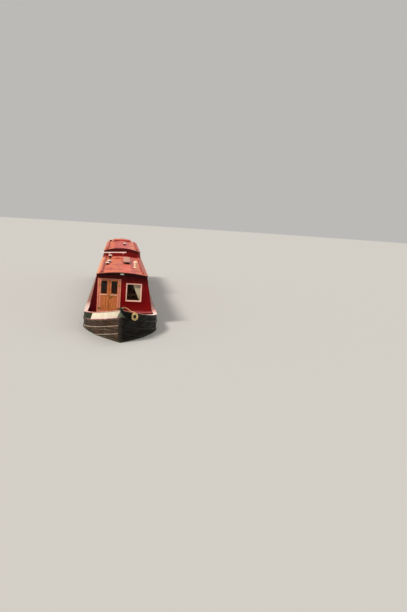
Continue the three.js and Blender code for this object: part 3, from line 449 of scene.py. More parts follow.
def soft_sun(name, towards, power, spread):
    """A light from the side that its vector points to, softened over spread degrees."""
    data = bpy.data.lights.new(name, "SUN")
    data.energy = power
    data.color = (1.0, 0.96, 0.9)
    data.angle = radians(spread)
    add_object(name, data).rotation_euler = Vector(towards).to_track_quat("Z", "Y").to_euler()


soft_sun("starboard_light", (0.52, -0.56, 0.68), 3.0, 14)
soft_sun("stern_light", (-0.72, 0.30, 0.62), 0.9, 40)

# The steel hull. 10 mm plate with three rubbing strakes a side, blacked with bitumen that has
# gone brown. On the bow the starboard side is painted browner as lit and the port side nearly black
# as painted shade. The pale lines along the strakes are rubbed edges and painted highlights. On the
# starboard bow the top strake has a cream block with a slanted end and a dark green one; on the
# port bow the green is a darker, shaded copy, with a grey wedge by the stem as a painted reflection.
SHEER_LOW = 1.06
SHEER_RISE = 0.43
SHEER_LENGTH = 3.1
STRAKES = [(0.62, 0.022), (0.43, 0.036), (0.205, 0.022)]
BLOCK_TOP = 0.02
BLOCK_FOOT = 0.183
GREEN_ENDS = 2.45
CREAM_ENDS = 1.32
CREAM_SLANT = 0.55
hull = Finish("bitumen_blacking", roughness=0.55, gloss=0.12)
station = STEM_X - hull.x
drop = (1.0 - station / SHEER_LENGTH).either(0.0) ** 2.0 * SHEER_RISE + SHEER_LOW - hull.z
starboard = hull.y.step(0.01, -0.01)
bow = station.step(6.5, 2.5)
wear_and_highlight = bow * (starboard * 0.9 + 0.06) + (1.0 - bow) * 0.5
grime = hull.noise(5, 5, (0.5, 0.5, 2.2))
fine = hull.noise(60, 4)
scrapes = hull.noise(10, 5, (0.2, 0.2, 6.0))
# At the bow the starboard side is painted brown as lit and the port side near black as painted shade.
bow_lit_and_shaded = starboard.blend(grime.blend((8, 6, 4), (20, 15, 11)), grime.blend((34, 23, 15), (66, 45, 30)))
rust = hull.spots(9, 0.10, 0.34) * fine * grime
coats = [(bow, bow_lit_and_shaded), (rust * 0.6, (88, 52, 36)),
         (scrapes.step(0.55, 1.0) * wear_and_highlight * 0.45, (112, 98, 88))]
# The pale lines at the strakes' edges are rubbed wear and painted highlights, strongest on the starboard
# bow.
for middle, half in STRAKES:
    top = middle - half
    foot = middle + half
    coats += [
        (drop.band(top - 0.010, top + 0.004) * (scrapes * 0.55 + 0.45) * wear_and_highlight, (208, 190, 170)),
        (drop.band(foot - 0.002, foot + 0.006) * scrapes * wear_and_highlight * 0.8, (176, 156, 136)),
        (drop.band(top, foot, 0.002) * scrapes.step(0.35, 0.9) * wear_and_highlight * 0.4, (132, 112, 100)),
    ]
stem = abs(hull.y).step(0.060, 0.052) * station.step(0.3, 0.2)
slime = hull.z.band(0.58, 0.70, 0.03) * hull.noise(11, 4) * 0.6
block = drop.band(BLOCK_TOP, BLOCK_FOOT, 0.0015)
# The port bow's green is a darker copy of the starboard green: painted shade.
shaded_green = fine.blend((5, 8, 5), (14, 16, 10))
green = starboard.blend(shaded_green, fine.blend((24, 34, 20), (42, 50, 32)))
# A greenish grey wedge on the bow by the stem: a painted reflection.
stem_reflection_wedge = block * (hull.y - drop * 1.15 + 0.0905).step(0.006, -0.006) * station.step(0.5, 0.45)
cream = block * (hull.y + drop * 0.5 + 0.012).step(0.008, -0.012)
chalky = layered(
    hull.noise(7, 4).blend((236, 228, 204), (218, 204, 180)),
    (hull.spots(26, 0.05, 0.26) * fine, (166, 144, 114)),
    (drop.step(0.12, 0.19) * scrapes, (232, 202, 204)),
    (station.step(0.85, 0.1) * 0.6, (196, 182, 160)),
)
pink = drop.band(BLOCK_FOOT, 0.206, 0.0015) * hull.y.step(0.0, -0.06) * station.step(1.9, 1.3)
hull.paint(
    grime.blend((18, 14, 10), (42, 31, 23)), *coats,
    (stem, scrapes.blend((20, 16, 13), (50, 42, 36))),
    (slime, (70, 72, 46)),
    (block * station.step(GREEN_ENDS + 0.003, GREEN_ENDS - 0.003), green),
    (stem_reflection_wedge, fine.blend((70, 78, 62), (106, 112, 92))),
    (cream * (station - drop * CREAM_SLANT).step(CREAM_ENDS + 0.003, CREAM_ENDS - 0.003), chalky),
    (pink, scrapes.blend((196, 146, 144), (120, 74, 72))),
)
hull.rough(grime * 0.3 + 0.52)
hull.relief(fine, 0.0012)
hull.relief(hull.noise(2.2, 2), 0.006)


def dress(finish, *nodes):
    """Gives solids their finish, with their curved faces shaded smooth and their edges sharp."""
    for node in nodes:
        solids[node].data.materials.clear()
        cover(solids[node].data, finish, 22)


def on_both_sides(*names):
    return [f"{name}_{side}" for name in names for side in ("port", "starboard")]


dress(hull, "base_plate", "stem_post", "counter_band", "uxter_plate",
      *on_both_sides("bow_side", "hull_side", "stern_side", "swim"))

# The decks: cappings, side decks, foredeck, well deck and stern deck. Plate under a faded pink
# deck paint with sand in it, with painted highlights nearly white at the starboard shoulder and along
# the port bow's capping. The well deck's seat is crimson, its lid worn pink along the edge. The stud
# and the bollards are iron.
FOREDECK_STATION = 0.15
FOREDECK_Z = 1.395
FOREDECK_FALL = 0.2 / 1.1
STUD_STATION = 0.38
STUD_HALF = 0.07
STUD_RISES = 0.012
WELL_FLOOR_Z = 0.8
SEAT_LID_Z = 1.014
SEAT_EDGE_X = 5.835


def deck_colours(finish):
    broad = finish.noise(3, 5)
    station = STEM_X - finish.x
    shoulder_highlight = abs(finish.y).step(0.82, 0.92) * station.step(1.7, 2.3) * station.step(4.6, 3.2)
    port_curve_highlight = finish.y.step(0.45, 0.7) * station.band(1.2, 2.7, 0.2)
    pink = layered(
        broad.blend((230, 158, 144), (202, 122, 106)),
        (finish.noise(22, 5) * broad.step(0.3, 1.0), (238, 204, 190)),
        (station.step(3.2, 4.8) * 0.85, broad.blend((152, 100, 76), (118, 78, 62))),
        (finish.spots(13, 0.06, 0.2), (136, 88, 72)),
        # Painted highlights: near white at the starboard shoulder and along the port bow's capping.
        ((shoulder_highlight * finish.y.step(0.9, 0.3)).either(port_curve_highlight) * 0.75, (250, 226, 216)),
    )
    return pink, broad, finish.noise(260, 2), station


deck = Finish("faded_deck_paint", roughness=0.62)
pink, broad, sand, station = deck_colours(deck)
above = deck.z + (station - FOREDECK_STATION) * FOREDECK_FALL - FOREDECK_Z
stud = above.step(STUD_RISES, STUD_RISES + 0.004) * deck.y.band(-STUD_HALF, STUD_HALF, 0.001)
stud = stud * station.band(STUD_STATION - 0.03, STUD_STATION + 0.03, 0.001)
bollards = deck.z.step(1.062, 1.066) * deck.x.step(-8.0, -8.1)
deck.paint(pink, (stud.either(bollards), sand.blend((22, 20, 20), (66, 58, 54))))
deck.rough(broad * 0.25 + 0.5)
deck.relief(sand, 0.0008)

well = Finish("well_deck_paint", roughness=0.6)
_, broad, sand, _ = deck_colours(well)
worn_edge = well.x.step(SEAT_EDGE_X - 0.012, SEAT_EDGE_X - 0.008)
lid = layered(broad.blend((140, 26, 34), (112, 12, 20)), (worn_edge, (206, 92, 88)))
well.paint(
    broad.blend((92, 70, 62), (64, 50, 46)),
    (well.z.step(WELL_FLOOR_Z + 0.001, WELL_FLOOR_Z + 0.003), broad.blend((78, 8, 16), (98, 16, 22))),
    (well.z.step(SEAT_LID_Z, SEAT_LID_Z + 0.001), lid),
)
well.relief(sand, 0.0006)

dress(deck, "foredeck", "foredeck_bulkhead", "locker_lid", "stern_deck",
      *on_both_sides("bow_capping", "side_deck"))
dress(well, "well_floor")

# The foredeck locker's lid has two strap hinges at its forward edge and a lifting ring aft. They
# lie on the lid, whose top slopes down aft with the deck and falls away to both sides.
FACES_UP = ((1, 0, 0), (0, 1, 0))
FACES_BOW = ((0, 1, 0), (0, 0, 1))
FACES_STERN = ((0, -1, 0), (0, 0, 1))
LID_HINGE = (STEM_X - 0.595, 0, 1.3145)
LID_CROWN = 0.0205
LID_FALLS = 0.0425
STRAPS_AT = 0.13
STRAP_LONG = 0.16
STRAP_WIDE = 0.032
RING_AT = 0.405


class Place:
    """A local frame: a along u, b along v, and c out of their plane, along w."""

    def __init__(self, origin, u, v):
        self.origin = Vector(origin)
        self.u = Vector(u).normalized()
        self.v = Vector(v).normalized()
        self.w = self.u.cross(self.v)

    def at(self, a, b, c=0.0):
        return self.origin + self.u * a + self.v * b + self.w * c

    def moved(self, a, b, c=0.0):
        return Place(self.at(a, b, c), self.u, self.v)


def rounded(width, height, radius, steps=5, middle=(0.0, 0.0)):
    """A rectangle with round corners, as a function that gives its points for an outset."""
    def points(outset):
        rounding = max(radius + outset, 0.0004)
        made = []
        for corner, (right, up) in enumerate(((1, 1), (-1, 1), (-1, -1), (1, -1))):
            a = middle[0] + right * (width / 2 + outset - rounding)
            b = middle[1] + up * (height / 2 + outset - rounding)
            for i in range(steps + 1):
                turn = pi / 2 * (corner + i / steps)
                made.append((a + rounding * cos(turn), b + rounding * sin(turn)))
        return made

    return points


def ring_of(shape, place, points, height):
    return [shape.verts.new(place.at(a, b, height)) for a, b in points]


def plate(shape, place, outline, low, high, chamfer=0.0):
    """A flat piece with the given outline, from height low to high, with a chamfered top edge."""
    levels = [(0, low), (0, high - chamfer)] + ([(-chamfer, high)] if chamfer else [])
    rings = [ring_of(shape, place, outline(outset), height) for outset, height in levels]
    skin(shape, rings)
    cap_ends(shape, rings)


def moulding(shape, place, outline, section):
    """A closed frame along an outline. The section's points are (outset, height)."""
    skin(shape, [ring_of(shape, place, outline(outset), height) for outset, height in section], closed=True)


def lathe(shape, place, profile, sides=20):
    """A turned piece round the place's w. The profile's points are (radius, height), end to end."""
    rings = []
    for radius, height in profile:
        rings.append(ring_of(shape, place, circle(radius, sides) if radius else [(0, 0)], height))
    for lower, upper in zip(rings, rings[1:]):
        for i in range(sides):
            j = (i + 1) % sides
            corners = [ring[k % len(ring)] for ring, k in ((lower, i), (lower, j), (upper, j), (upper, i))]
            shape.faces.new(list(dict.fromkeys(corners)))
    for ring in (rings[0], rings[-1]):
        if len(ring) > 1:
            shape.faces.new(ring)


def round_bar(shape, route, radius=0.006, sides=10, closed=False):
    sweep(shape, route, lambda *_: circle(radius, sides), closed)


def hoop(shape, place, radius, thick, height=0.0, sides=28):
    """A round ring of round bar, lying in the place's plane."""
    round_bar(shape, [place.at(a, b, height) for a, b in circle(radius, sides)], thick, 8, True)


def metal(name, light, dark, roughness):
    finish = Finish(name, roughness=roughness, metallic=1.0)
    finish.paint(finish.noise(30, 4).blend(light, dark))
    finish.rough(finish.noise(70, 3) * 0.14 + (roughness - 0.06))
    finish.relief(finish.noise(240, 2), 0.0002)
    return finish


brass = metal("dull_brass", (206, 168, 92), (152, 114, 58), 0.34)
worn_steel = metal("worn_steel", (150, 148, 144), (98, 92, 86), 0.42)
lid_place = Place(LID_HINGE, (-1, 0, -FOREDECK_FALL), (0, -1, 0))
shape = bmesh.new()
strap_top = LID_CROWN - LID_FALLS * STRAPS_AT
for b in (STRAPS_AT, -STRAPS_AT):
    strap = rounded(STRAP_LONG, STRAP_WIDE, 0.012, middle=(STRAP_LONG / 2 - 0.004, b))
    plate(shape, lid_place, strap, strap_top - 0.004, strap_top + 0.004, 0.0015)
    for a in (0.03, 0.08, 0.13):
        lathe(shape, lid_place.moved(a, b, strap_top),
              [(0.007, 0.003), (0.007, 0.006), (0.004, 0.008), (0, 0.0085)], 8)
plate(shape, lid_place, rounded(0.05, 0.07, 0.012, middle=(RING_AT + 0.015, 0)),
      0.014, LID_CROWN + 0.004, 0.001)
hoop(shape, lid_place.moved(RING_AT, 0), 0.024, 0.004, LID_CROWN + 0.008)
add_piece("locker_lid_fittings", shape, worn_steel, "locker_lid")

# The cabin's steel walls in crimson enamel, lined inside with pale ply. The paint is glossy and a
# little uneven and dusty low down. On the front bulkhead its top is painted dark as the shade under
# the roof's overhang, and so is a strip starboard of the doors. The walls lean in, so a point's
# height decides where a wall's face lies.
WALL_FOOT_Z = 1.06
WALL_FOOT_Y = 0.915
WALL_LEAN = 0.1845
WALL_THICK = 0.05
BULKHEAD_X = STEM_X - 3.15
REAR_BULKHEAD_X = STEM_X - 16.4
STEP_X = STEM_X - 9.83
UNDER_ROOF_Z = 2.11
DARK_STRIP_Y = -0.72


def wall_finish(name, is_outside, shaded_front=False):
    """Enamel where is_outside(finish) is 1 and the cabin's lining elsewhere."""
    finish = Finish(name, roughness=0.34, coat=0.0 if shaded_front else 0.08, gloss=0.12 if shaded_front else 0.26)
    broad = finish.noise(1.7, 4)
    runs = finish.noise(7, 4, (1, 1, 0.1)) * finish.z.step(1.1, 1.5) * 0.4
    dust = finish.z.step(1.25, 1.06) * finish.noise(40, 4) * 0.28
    enamel = layered(broad.blend((110, 2, 6), (130, 6, 12)), (runs, (84, 2, 6)), (dust, (150, 52, 40)))
    # Painted shade: dark under the roof's overhang and on the strip starboard of the doors.
    if shaded_front:
        overhang_shade = finish.z.step(UNDER_ROOF_Z - 0.26, UNDER_ROOF_Z - 0.02) * 0.85
        starboard_strip_shade = finish.y.step(DARK_STRIP_Y + 0.004, DARK_STRIP_Y - 0.004) * 0.75
        enamel = layered(enamel, (overhang_shade, (30, 2, 4)), (starboard_strip_shade, (46, 2, 4)))
    lining = finish.noise(5, 5, (0.6, 6, 6)).blend((150, 122, 88), (126, 96, 66))
    finish.paint(lining, (is_outside(finish), enamel))
    finish.rough(finish.noise(9, 4) * 0.1 + 0.32)
    finish.relief(broad, 0.0012)
    finish.relief(finish.noise(180, 2), 0.0002)
    return finish


def beyond_wall(finish):
    """1 on a side wall's outside and on its ends."""
    inner_face = WALL_FOOT_Y + WALL_LEAN * WALL_FOOT_Z - WALL_THICK
    outer = (abs(finish.y) + finish.z * WALL_LEAN).step(inner_face + 0.012, inner_face + 0.014)
    aft_end = finish.x.step(REAR_BULKHEAD_X + 0.03, REAR_BULKHEAD_X + 0.028)
    return outer.either(aft_end).either(finish.x.step(BULKHEAD_X - 0.03, BULKHEAD_X - 0.028))


def outside(x, ahead=1):
    """1 outside an end wall's middle x. ahead is 1 where outside lies ahead, and -1 where aft."""
    return lambda finish: finish.x.step(x, x + 0.002 * ahead)


dress(wall_finish("crimson_side_enamel", beyond_wall), *on_both_sides("cabin_side", "raised_side"))
dress(wall_finish("crimson_front_enamel", outside(BULKHEAD_X - 0.04), True), "front_bulkhead")
dress(wall_finish("crimson_step_enamel", outside(STEP_X - 0.04)), "step_face")
dress(wall_finish("crimson_rear_enamel", outside(REAR_BULKHEAD_X + 0.04, -1)), "rear_bulkhead")

# The side windows: rounded aluminium frames bolted on from outside, with a hopper bar above the
# middle, glass painted brown as the shade of the dark cabin behind it, and inside each a cotton
# curtain drawn to one end of a brass rod.
WINDOWS = [
    (4.45, 0.9, 1.44), (6.25, 0.9, 1.44), (8.25, 0.9, 1.44),
    (11.1, 0.76, 1.6), (12.9, 0.76, 1.6), (14.7, 0.5, 1.6),
]
WINDOW_HIGH = 0.44
WINDOW_CORNER = 0.07
FRAME_SECTION = [(-0.012, -0.022), (-0.012, 0.004), (-0.007, 0.008), (0.021, 0.008),
                 (0.026, 0.004), (0.026, 0.0005), (-0.003, 0.0005), (-0.003, -0.022)]
HOPPER_BAR_RISES = 0.06
CURTAIN_BEHIND = 0.085
CURTAIN_HIGH = 0.5
CURTAIN_DRAWN = 0.19
CURTAIN_ROWS = 14


def glass_finish(name, tint):
    finish = Finish(name, roughness=0.04)
    # The brown is painted shade: the dark cabin behind the glass, painted onto it.
    finish.paint(finish.noise(4, 3).blend((34, 20, 8), (46, 28, 14)))
    finish.rough(finish.noise(14, 4) * 0.05 + 0.02)
    finish.shader.inputs["Alpha"].default_value = tint
    return finish


def hang_curtain(name, place, top, foot, near_top, near_foot, far, pleats, deep, rod):
    """A pleated curtain from b = top down to foot. One edge runs from near_top to near_foot."""
    shape = bmesh.new()
    rows = []
    columns = pleats * 8
    for i in range(CURTAIN_ROWS + 1):
        down = i / CURTAIN_ROWS
        near = near_top + (near_foot - near_top) * down
        row = []
        for j in range(columns + 1):
            across = j / columns
            a = near + (far - near) * across
            wave = sin(2 * pi * pleats * across + 0.35 * sin(3 * down + 5 * across))
            fold = deep * wave * (0.85 + 0.15 * down)
            row.append(shape.verts.new(place.at(a, top + (foot - top) * down, fold)))
        rows.append(row)
    for upper, lower in zip(rows, rows[1:]):
        for j in range(columns):
            shape.faces.new((upper[j], upper[j + 1], lower[j + 1], lower[j]))
    area = sum(face.calc_area() for face in shape.faces)
    made = add_piece(name, shape, cotton, smooth_below=180)


cotton = Finish("cream_cotton", roughness=0.9)
weave = cotton.noise(900, 1)
cotton.paint(weave.blend((252, 246, 222), (236, 226, 192)))
cotton.relief(weave, 0.0003)
cotton.shader.inputs["Sheen Weight"].default_value = 0.25
shade_brown_glass = glass_finish("shade_brown_glass", 0.35)
aluminium = metal("window_aluminium", (190, 192, 192), (174, 175, 174), 0.4)
frames = bmesh.new()
panes = bmesh.new()
rods = bmesh.new()
curtains = []
wall_turn = atan(WALL_LEAN)
window_long = WINDOW_HIGH / cos(wall_turn)
for station, width, sill in WINDOWS:
    z = sill + WINDOW_HIGH / 2
    y = WALL_FOOT_Y - WALL_LEAN * (z - WALL_FOOT_Z)
    for side, side_name in ((1, "port"), (-1, "starboard")):
        wall = Place((STEM_X - station, side * y, z), (-side, 0, 0),
                     (0, -side * sin(wall_turn), cos(wall_turn)))
        outline = rounded(width, window_long, WINDOW_CORNER, 7)
        moulding(frames, wall, outline, FRAME_SECTION)
        bar = rounded(width - 0.02, 0.02, 0.004, 2, (0, HOPPER_BAR_RISES))
        plate(frames, wall, bar, -0.014, 0.004, 0.002)
        catch = rounded(0.03, 0.012, 0.004, 3, (0, HOPPER_BAR_RISES + 0.018))
        plate(frames, wall, catch, -0.012, 0.003, 0.002)
        pane = rounded(width - 0.02, window_long - 0.02, WINDOW_CORNER - 0.01, 7)
        plate(panes, wall, pane, -0.012, -0.008)
        hanging = wall.moved(0, 0, -CURTAIN_BEHIND)
        top = window_long / 2 + 0.02
        round_bar(rods, [hanging.at(a, top) for a in (-width / 2 - 0.03, 0, width / 2 + 0.03)])
        name = f"curtain_{side_name}_{round(station * 100)}"
        far = side * (width / 2 + 0.02)
        curtains.append((name, hanging, top, far - side * CURTAIN_DRAWN, far))
add_piece("side_window_frames", frames, aluminium)
add_piece("side_window_glass", panes, shade_brown_glass)
add_piece("side_curtain_rods", rods, brass)
for name, hanging, top, near, far in curtains:
    hang_curtain(name, hanging, top, top - CURTAIN_HIGH, near, near, far, 6, 0.0085, "side_curtain_rods")

# The front window: a pinkish wooden surround, one pane, and a cream curtain gathered to port. The
# curtain is wide at its rod and pulled in to the window's edge at the sill.
FRONT_WINDOW_MIDDLE = (BULKHEAD_X, 0.36, 1.5595)
GLASS_WIDE = 0.41
GLASS_HIGH = 0.485
ROD_UP = 0.272
ROD_BEHIND = 0.075
ROD_HALF = 0.25
CURTAIN_FOOT = -0.262
CURTAIN_EDGES = (-0.052, 0.183, 0.238)
BEAD_SECTION = [(0.0, -0.016), (-0.012, -0.016), (-0.010, -0.008), (0.0, -0.002)]


def wood_finish(name, light, dark, pale_and_shade=None, hinges=None, roughness=0.42, coat=0.25):
    """Grained wood. A mask with two colours marks its bleached parts or its parts with painted shade;
    hinges, its brass ones.
    """
    finish = Finish(name, roughness=roughness, coat=coat)
    grain = finish.noise(24, 6, (4, 4, 0.35))
    pores = finish.noise(150, 3, (3, 3, 0.12))
    coats = [(pores * grain.step(0.4, 1.0) * 0.6, [0.717 * v - 3.97 for v in dark])]
    if pale_and_shade:
        where, over_light, over_dark = pale_and_shade
        coats.append((where(finish), grain.blend(over_light, over_dark)))
    if hinges:
        brass_parts = hinges(finish)
        coats.append((brass_parts, (190, 150, 80)))
        finish.feed(finish.shader.inputs["Metallic"], brass_parts)
    finish.paint(grain.blend(light, dark), *coats)
    finish.rough(grain * 0.2 + (roughness - 0.08))
    finish.relief(pores, 0.0004)
    return finish


surround = wood_finish("pink_window_surround", (246, 200, 180), (228, 172, 150), roughness=0.5, coat=0.1)
dress(surround, "front_window_frame")
front_window = Place(FRONT_WINDOW_MIDDLE, *FACES_BOW)
shape = bmesh.new()
plate(shape, front_window, rounded(GLASS_WIDE + 0.004, GLASS_HIGH + 0.004, 0.004, 2), -0.02, -0.016)
add_piece("front_window_glass", shape, glass_finish("clear_shade_brown_glass", 0.14))
shape = bmesh.new()
moulding(shape, front_window, rounded(GLASS_WIDE, GLASS_HIGH, 0.004, 2), BEAD_SECTION)
add_piece("front_window_bead", shape, surround)
shape = bmesh.new()
hanging = front_window.moved(0, 0, -ROD_BEHIND)
round_bar(shape, [hanging.at(a, ROD_UP) for a in (-ROD_HALF, 0, ROD_HALF)])
for a in (-ROD_HALF - 0.006, ROD_HALF + 0.006):
    lathe(shape, Place(hanging.at(a, ROD_UP), (0, 0, 1), (1, 0, 0)),
          [(0, -0.012), (0.009, -0.008), (0.012, 0), (0.009, 0.008), (0, 0.012)], 12)
add_piece("front_curtain_rod", shape, brass)
hang_curtain("front_curtain", hanging, ROD_UP, CURTAIN_FOOT, *CURTAIN_EDGES, 9, 0.008, "front_curtain_rod")

# The front doors: a varnished, glazed pair in bleached linings. Each leaf has a beaded pane over a
# raised panel, a pale sill under the pane, and brass hinges. The port leaf has the brass handle,
# and the starboard leaf a bead where they meet.
PANE_Z = 1.6815
PANE_HIGH = 0.373
PANEL_Z = 1.205
PANEL_HIGH = 0.43
PANE_WIDE = 0.178
PANE_FROM_PIN = 0.149
MEETING_Y = -0.36
MEETING_BEAD_Z = 1.4125
SILL_Z = 1.457
FACE_X = 5.556
HANDLE_AT = (FACE_X, MEETING_Y + 0.031, 1.4)
HALF_ROUND = [(0.011, 0.0), (0.010, 0.005), (0.005, 0.008), (0.0, 0.006), (-0.003, 0.0), (-0.003, -0.004),
              (0.011, -0.004)]
SUNK = -0.0085
SUNK_RIM = [(0.0, -0.001), (-0.006, -0.001), (-0.014, -0.006), (-0.014, SUNK), (0.0, SUNK)]
FIELD_INSET = 0.022
LEVER = [
    (0, 0, 0.028), (0.02, 0.001, 0.031), (0.05, 0, 0.032), (0.08, -0.002, 0.031), (0.098, -0.004, 0.028),
]


def from_meeting(finish):
    return abs(finish.y - MEETING_Y)


def front_paling(finish):
    """The pinkish outer stiles and bottom rail of the pair, without the hinges."""
    frame_parts = from_meeting(finish).step(0.236, 0.24).either(finish.z.step(0.99, 0.98))
    return frame_parts * from_meeting(finish).step(0.2935, 0.2925)


def front_hinges(finish):
    straps = finish.x.step(FACE_X + 0.0004, FACE_X + 0.0008)
    return straps.either(from_meeting(finish).step(0.2935, 0.294))


def raised_panel(shape, place, width, height):
    """A panel sunk in its leaf, with a bevelled rim and a field that rises in its middle."""
    moulding(shape, place, rounded(width, height, 0.003, 2), SUNK_RIM)
    field = rounded(width - 2 * FIELD_INSET, height - 2 * FIELD_INSET, 0.003, 2)
    plate(shape, place, field, SUNK, 0.0, 0.006)


def lever_handle(shape, place, towards):
    """A long back plate with a keyhole boss, and a lever that points towards +1 or -1 along a."""
    plate(shape, place, rounded(0.034, 0.15, 0.016, 5), 0, 0.004, 0.0015)
    boss = place.moved(0, 0.03)
    lathe(shape, boss, [(0.012, 0.003), (0.011, 0.012), (0.008, 0.016), (0.008, 0.034), (0.0, 0.036)], 14)
    lever = [boss.at(towards * a, b, c) for a, b, c in LEVER]
    sweep(shape, smooth_through(lever, 3), lambda *_: [(a * 0.8, b) for a, b in circle(0.0075, 10)])
    lathe(shape, place.moved(0, -0.035), [(0.008, 0.003), (0.007, 0.006), (0.003, 0.006), (0.0, 0.004)], 12)


dress(wood_finish("orange_varnished_doors", (214, 124, 62), (176, 92, 42),
                  (front_paling, (228, 142, 112), (204, 120, 92)), front_hinges),
      "front_door_port", "front_door_starboard")
# The lining's top is painted dark brown as the shade under the roof's overhang.
dress(wood_finish("bleached_lining", (232, 148, 116), (204, 118, 90),
                  (lambda f: f.z.step(1.93, 1.95), (130, 66, 44), (96, 44, 28)), roughness=0.5, coat=0.1),
      "front_door_frame")
joinery_varnish = wood_finish("varnished_door_joinery", (216, 126, 66), (180, 96, 46))
pale_sill = wood_finish("pale_door_sills", (244, 206, 176), (226, 180, 150), roughness=0.5, coat=0.1)
for leaf, towards, pin_y in (("port", -1, -0.062), ("starboard", 1, -0.658)):
    body = f"front_door_{leaf}"
    middle_y = pin_y + towards * PANE_FROM_PIN
    pane_place = Place((FACE_X, middle_y, PANE_Z), *FACES_BOW)
    pane = bmesh.new()
    plate(pane, pane_place, rounded(PANE_WIDE + 0.004, PANE_HIGH + 0.004, 0.003, 2), -0.02, -0.016)
    add_piece(f"front_door_glass_{leaf}", pane, shade_brown_glass, body)
    shape = bmesh.new()
    moulding(shape, pane_place, rounded(PANE_WIDE, PANE_HIGH, 0.003, 2), HALF_ROUND)
    raised_panel(shape, Place((FACE_X, middle_y, PANEL_Z), *FACES_BOW), PANE_WIDE, PANEL_HIGH)
    if leaf == "starboard":
        bead_place = Place((FACE_X, MEETING_Y - 0.0125, MEETING_BEAD_Z), *FACES_BOW)
        plate(shape, bead_place, rounded(0.018, 0.965, 0.004, 3), -0.002, 0.008, 0.004)
    add_piece(f"front_door_joinery_{leaf}", shape, joinery_varnish, body)
    sill = bmesh.new()
    plate(sill, Place((FACE_X, middle_y, SILL_Z), *FACES_BOW), rounded(PANE_WIDE + 0.03, 0.02, 0.006, 3),
          -0.002, 0.014, 0.005)
    add_piece(f"front_door_sill_{leaf}", sill, pale_sill, body)
shape = bmesh.new()
lever_handle(shape, Place(HANDLE_AT, *FACES_BOW), 1)
add_piece("front_door_handle", shape, brass, "front_door_port")

# The rear doors: a varnished pair without glass, on brass hinges, with two raised panels a leaf.
# A brass lever handle is screwed to the port leaf, and a brass bolt to the starboard one.
REAR_FACE_X = -7.736
REAR_PANEL_Y = 0.171
REAR_PANEL_WIDE = 0.21
REAR_PANELS = [(1.41, 0.38), (1.885, 0.41)]
REAR_HANDLE_AT = (REAR_FACE_X, 0.034, 1.66)
REAR_BOLT_AT = (REAR_FACE_X, -0.034, 1.3)


def rear_hinges(finish):
    spread = abs(finish.y)
    face = finish.x.step(REAR_FACE_X - 0.0004, REAR_FACE_X - 0.0008)
    straps = face * finish.x.step(REAR_FACE_X - 0.012, REAR_FACE_X - 0.010) * spread.step(0.27, 0.272)
    return straps.either(spread.band(0.3337, 0.3452, 0.0002))


rear_lining = wood_finish("varnished_rear_lining", (170, 92, 48), (126, 62, 30))
dress(wood_finish("varnished_rear_doors", (188, 104, 54), (142, 72, 34), hinges=rear_hinges),
      "rear_door_port", "rear_door_starboard")
dress(rear_lining, "rear_door_frame")
for side, leaf in ((1, "port"), (-1, "starboard")):
    shape = bmesh.new()
    for z, height in REAR_PANELS:
        panel_place = Place((REAR_FACE_X, side * REAR_PANEL_Y, z), *FACES_STERN)
        raised_panel(shape, panel_place, REAR_PANEL_WIDE, height)
    add_piece(f"rear_door_joinery_{leaf}", shape, rear_lining, f"rear_door_{leaf}")
shape = bmesh.new()
lever_handle(shape, Place(REAR_HANDLE_AT, *FACES_STERN), -1)
add_piece("rear_door_handle", shape, brass, "rear_door_port")
shape = bmesh.new()
bolt_place = Place(REAR_BOLT_AT, *FACES_STERN)
plate(shape, bolt_place, rounded(0.03, 0.16, 0.006, 3), 0, 0.003, 0.001)
round_bar(shape, [bolt_place.at(0, b, 0.009) for b in (-0.075, 0, 0.075)])
lathe(shape, bolt_place.moved(0, 0.02, 0.009),
      [(0.004, 0.0), (0.004, 0.012), (0.008, 0.016), (0.008, 0.02), (0, 0.023)], 12)
add_piece("rear_door_bolt", shape, brass, "rear_door_starboard")

# The roofs, with the steerer's sliding hatch and the low hatch by the step. Red paint, salmon partly
# from the sun and partly as painted sky sheen, redder to port, sprinkled with fallen leaves and
# lichen. The starboard edges are painted lighter as highlight and the port edges darker as shade.
# The underside and the front edge are painted dark as shade, with a painted highlight along the
# front lip. A roof is given by the height of its edge, its camber, its half width and its front.
MAIN_ROOF = (2.085, 0.072, 0.7459, STEM_X - 2.93)
RAISED_ROOF = (2.345, 0.125, 0.6979, STEM_X - 9.74)


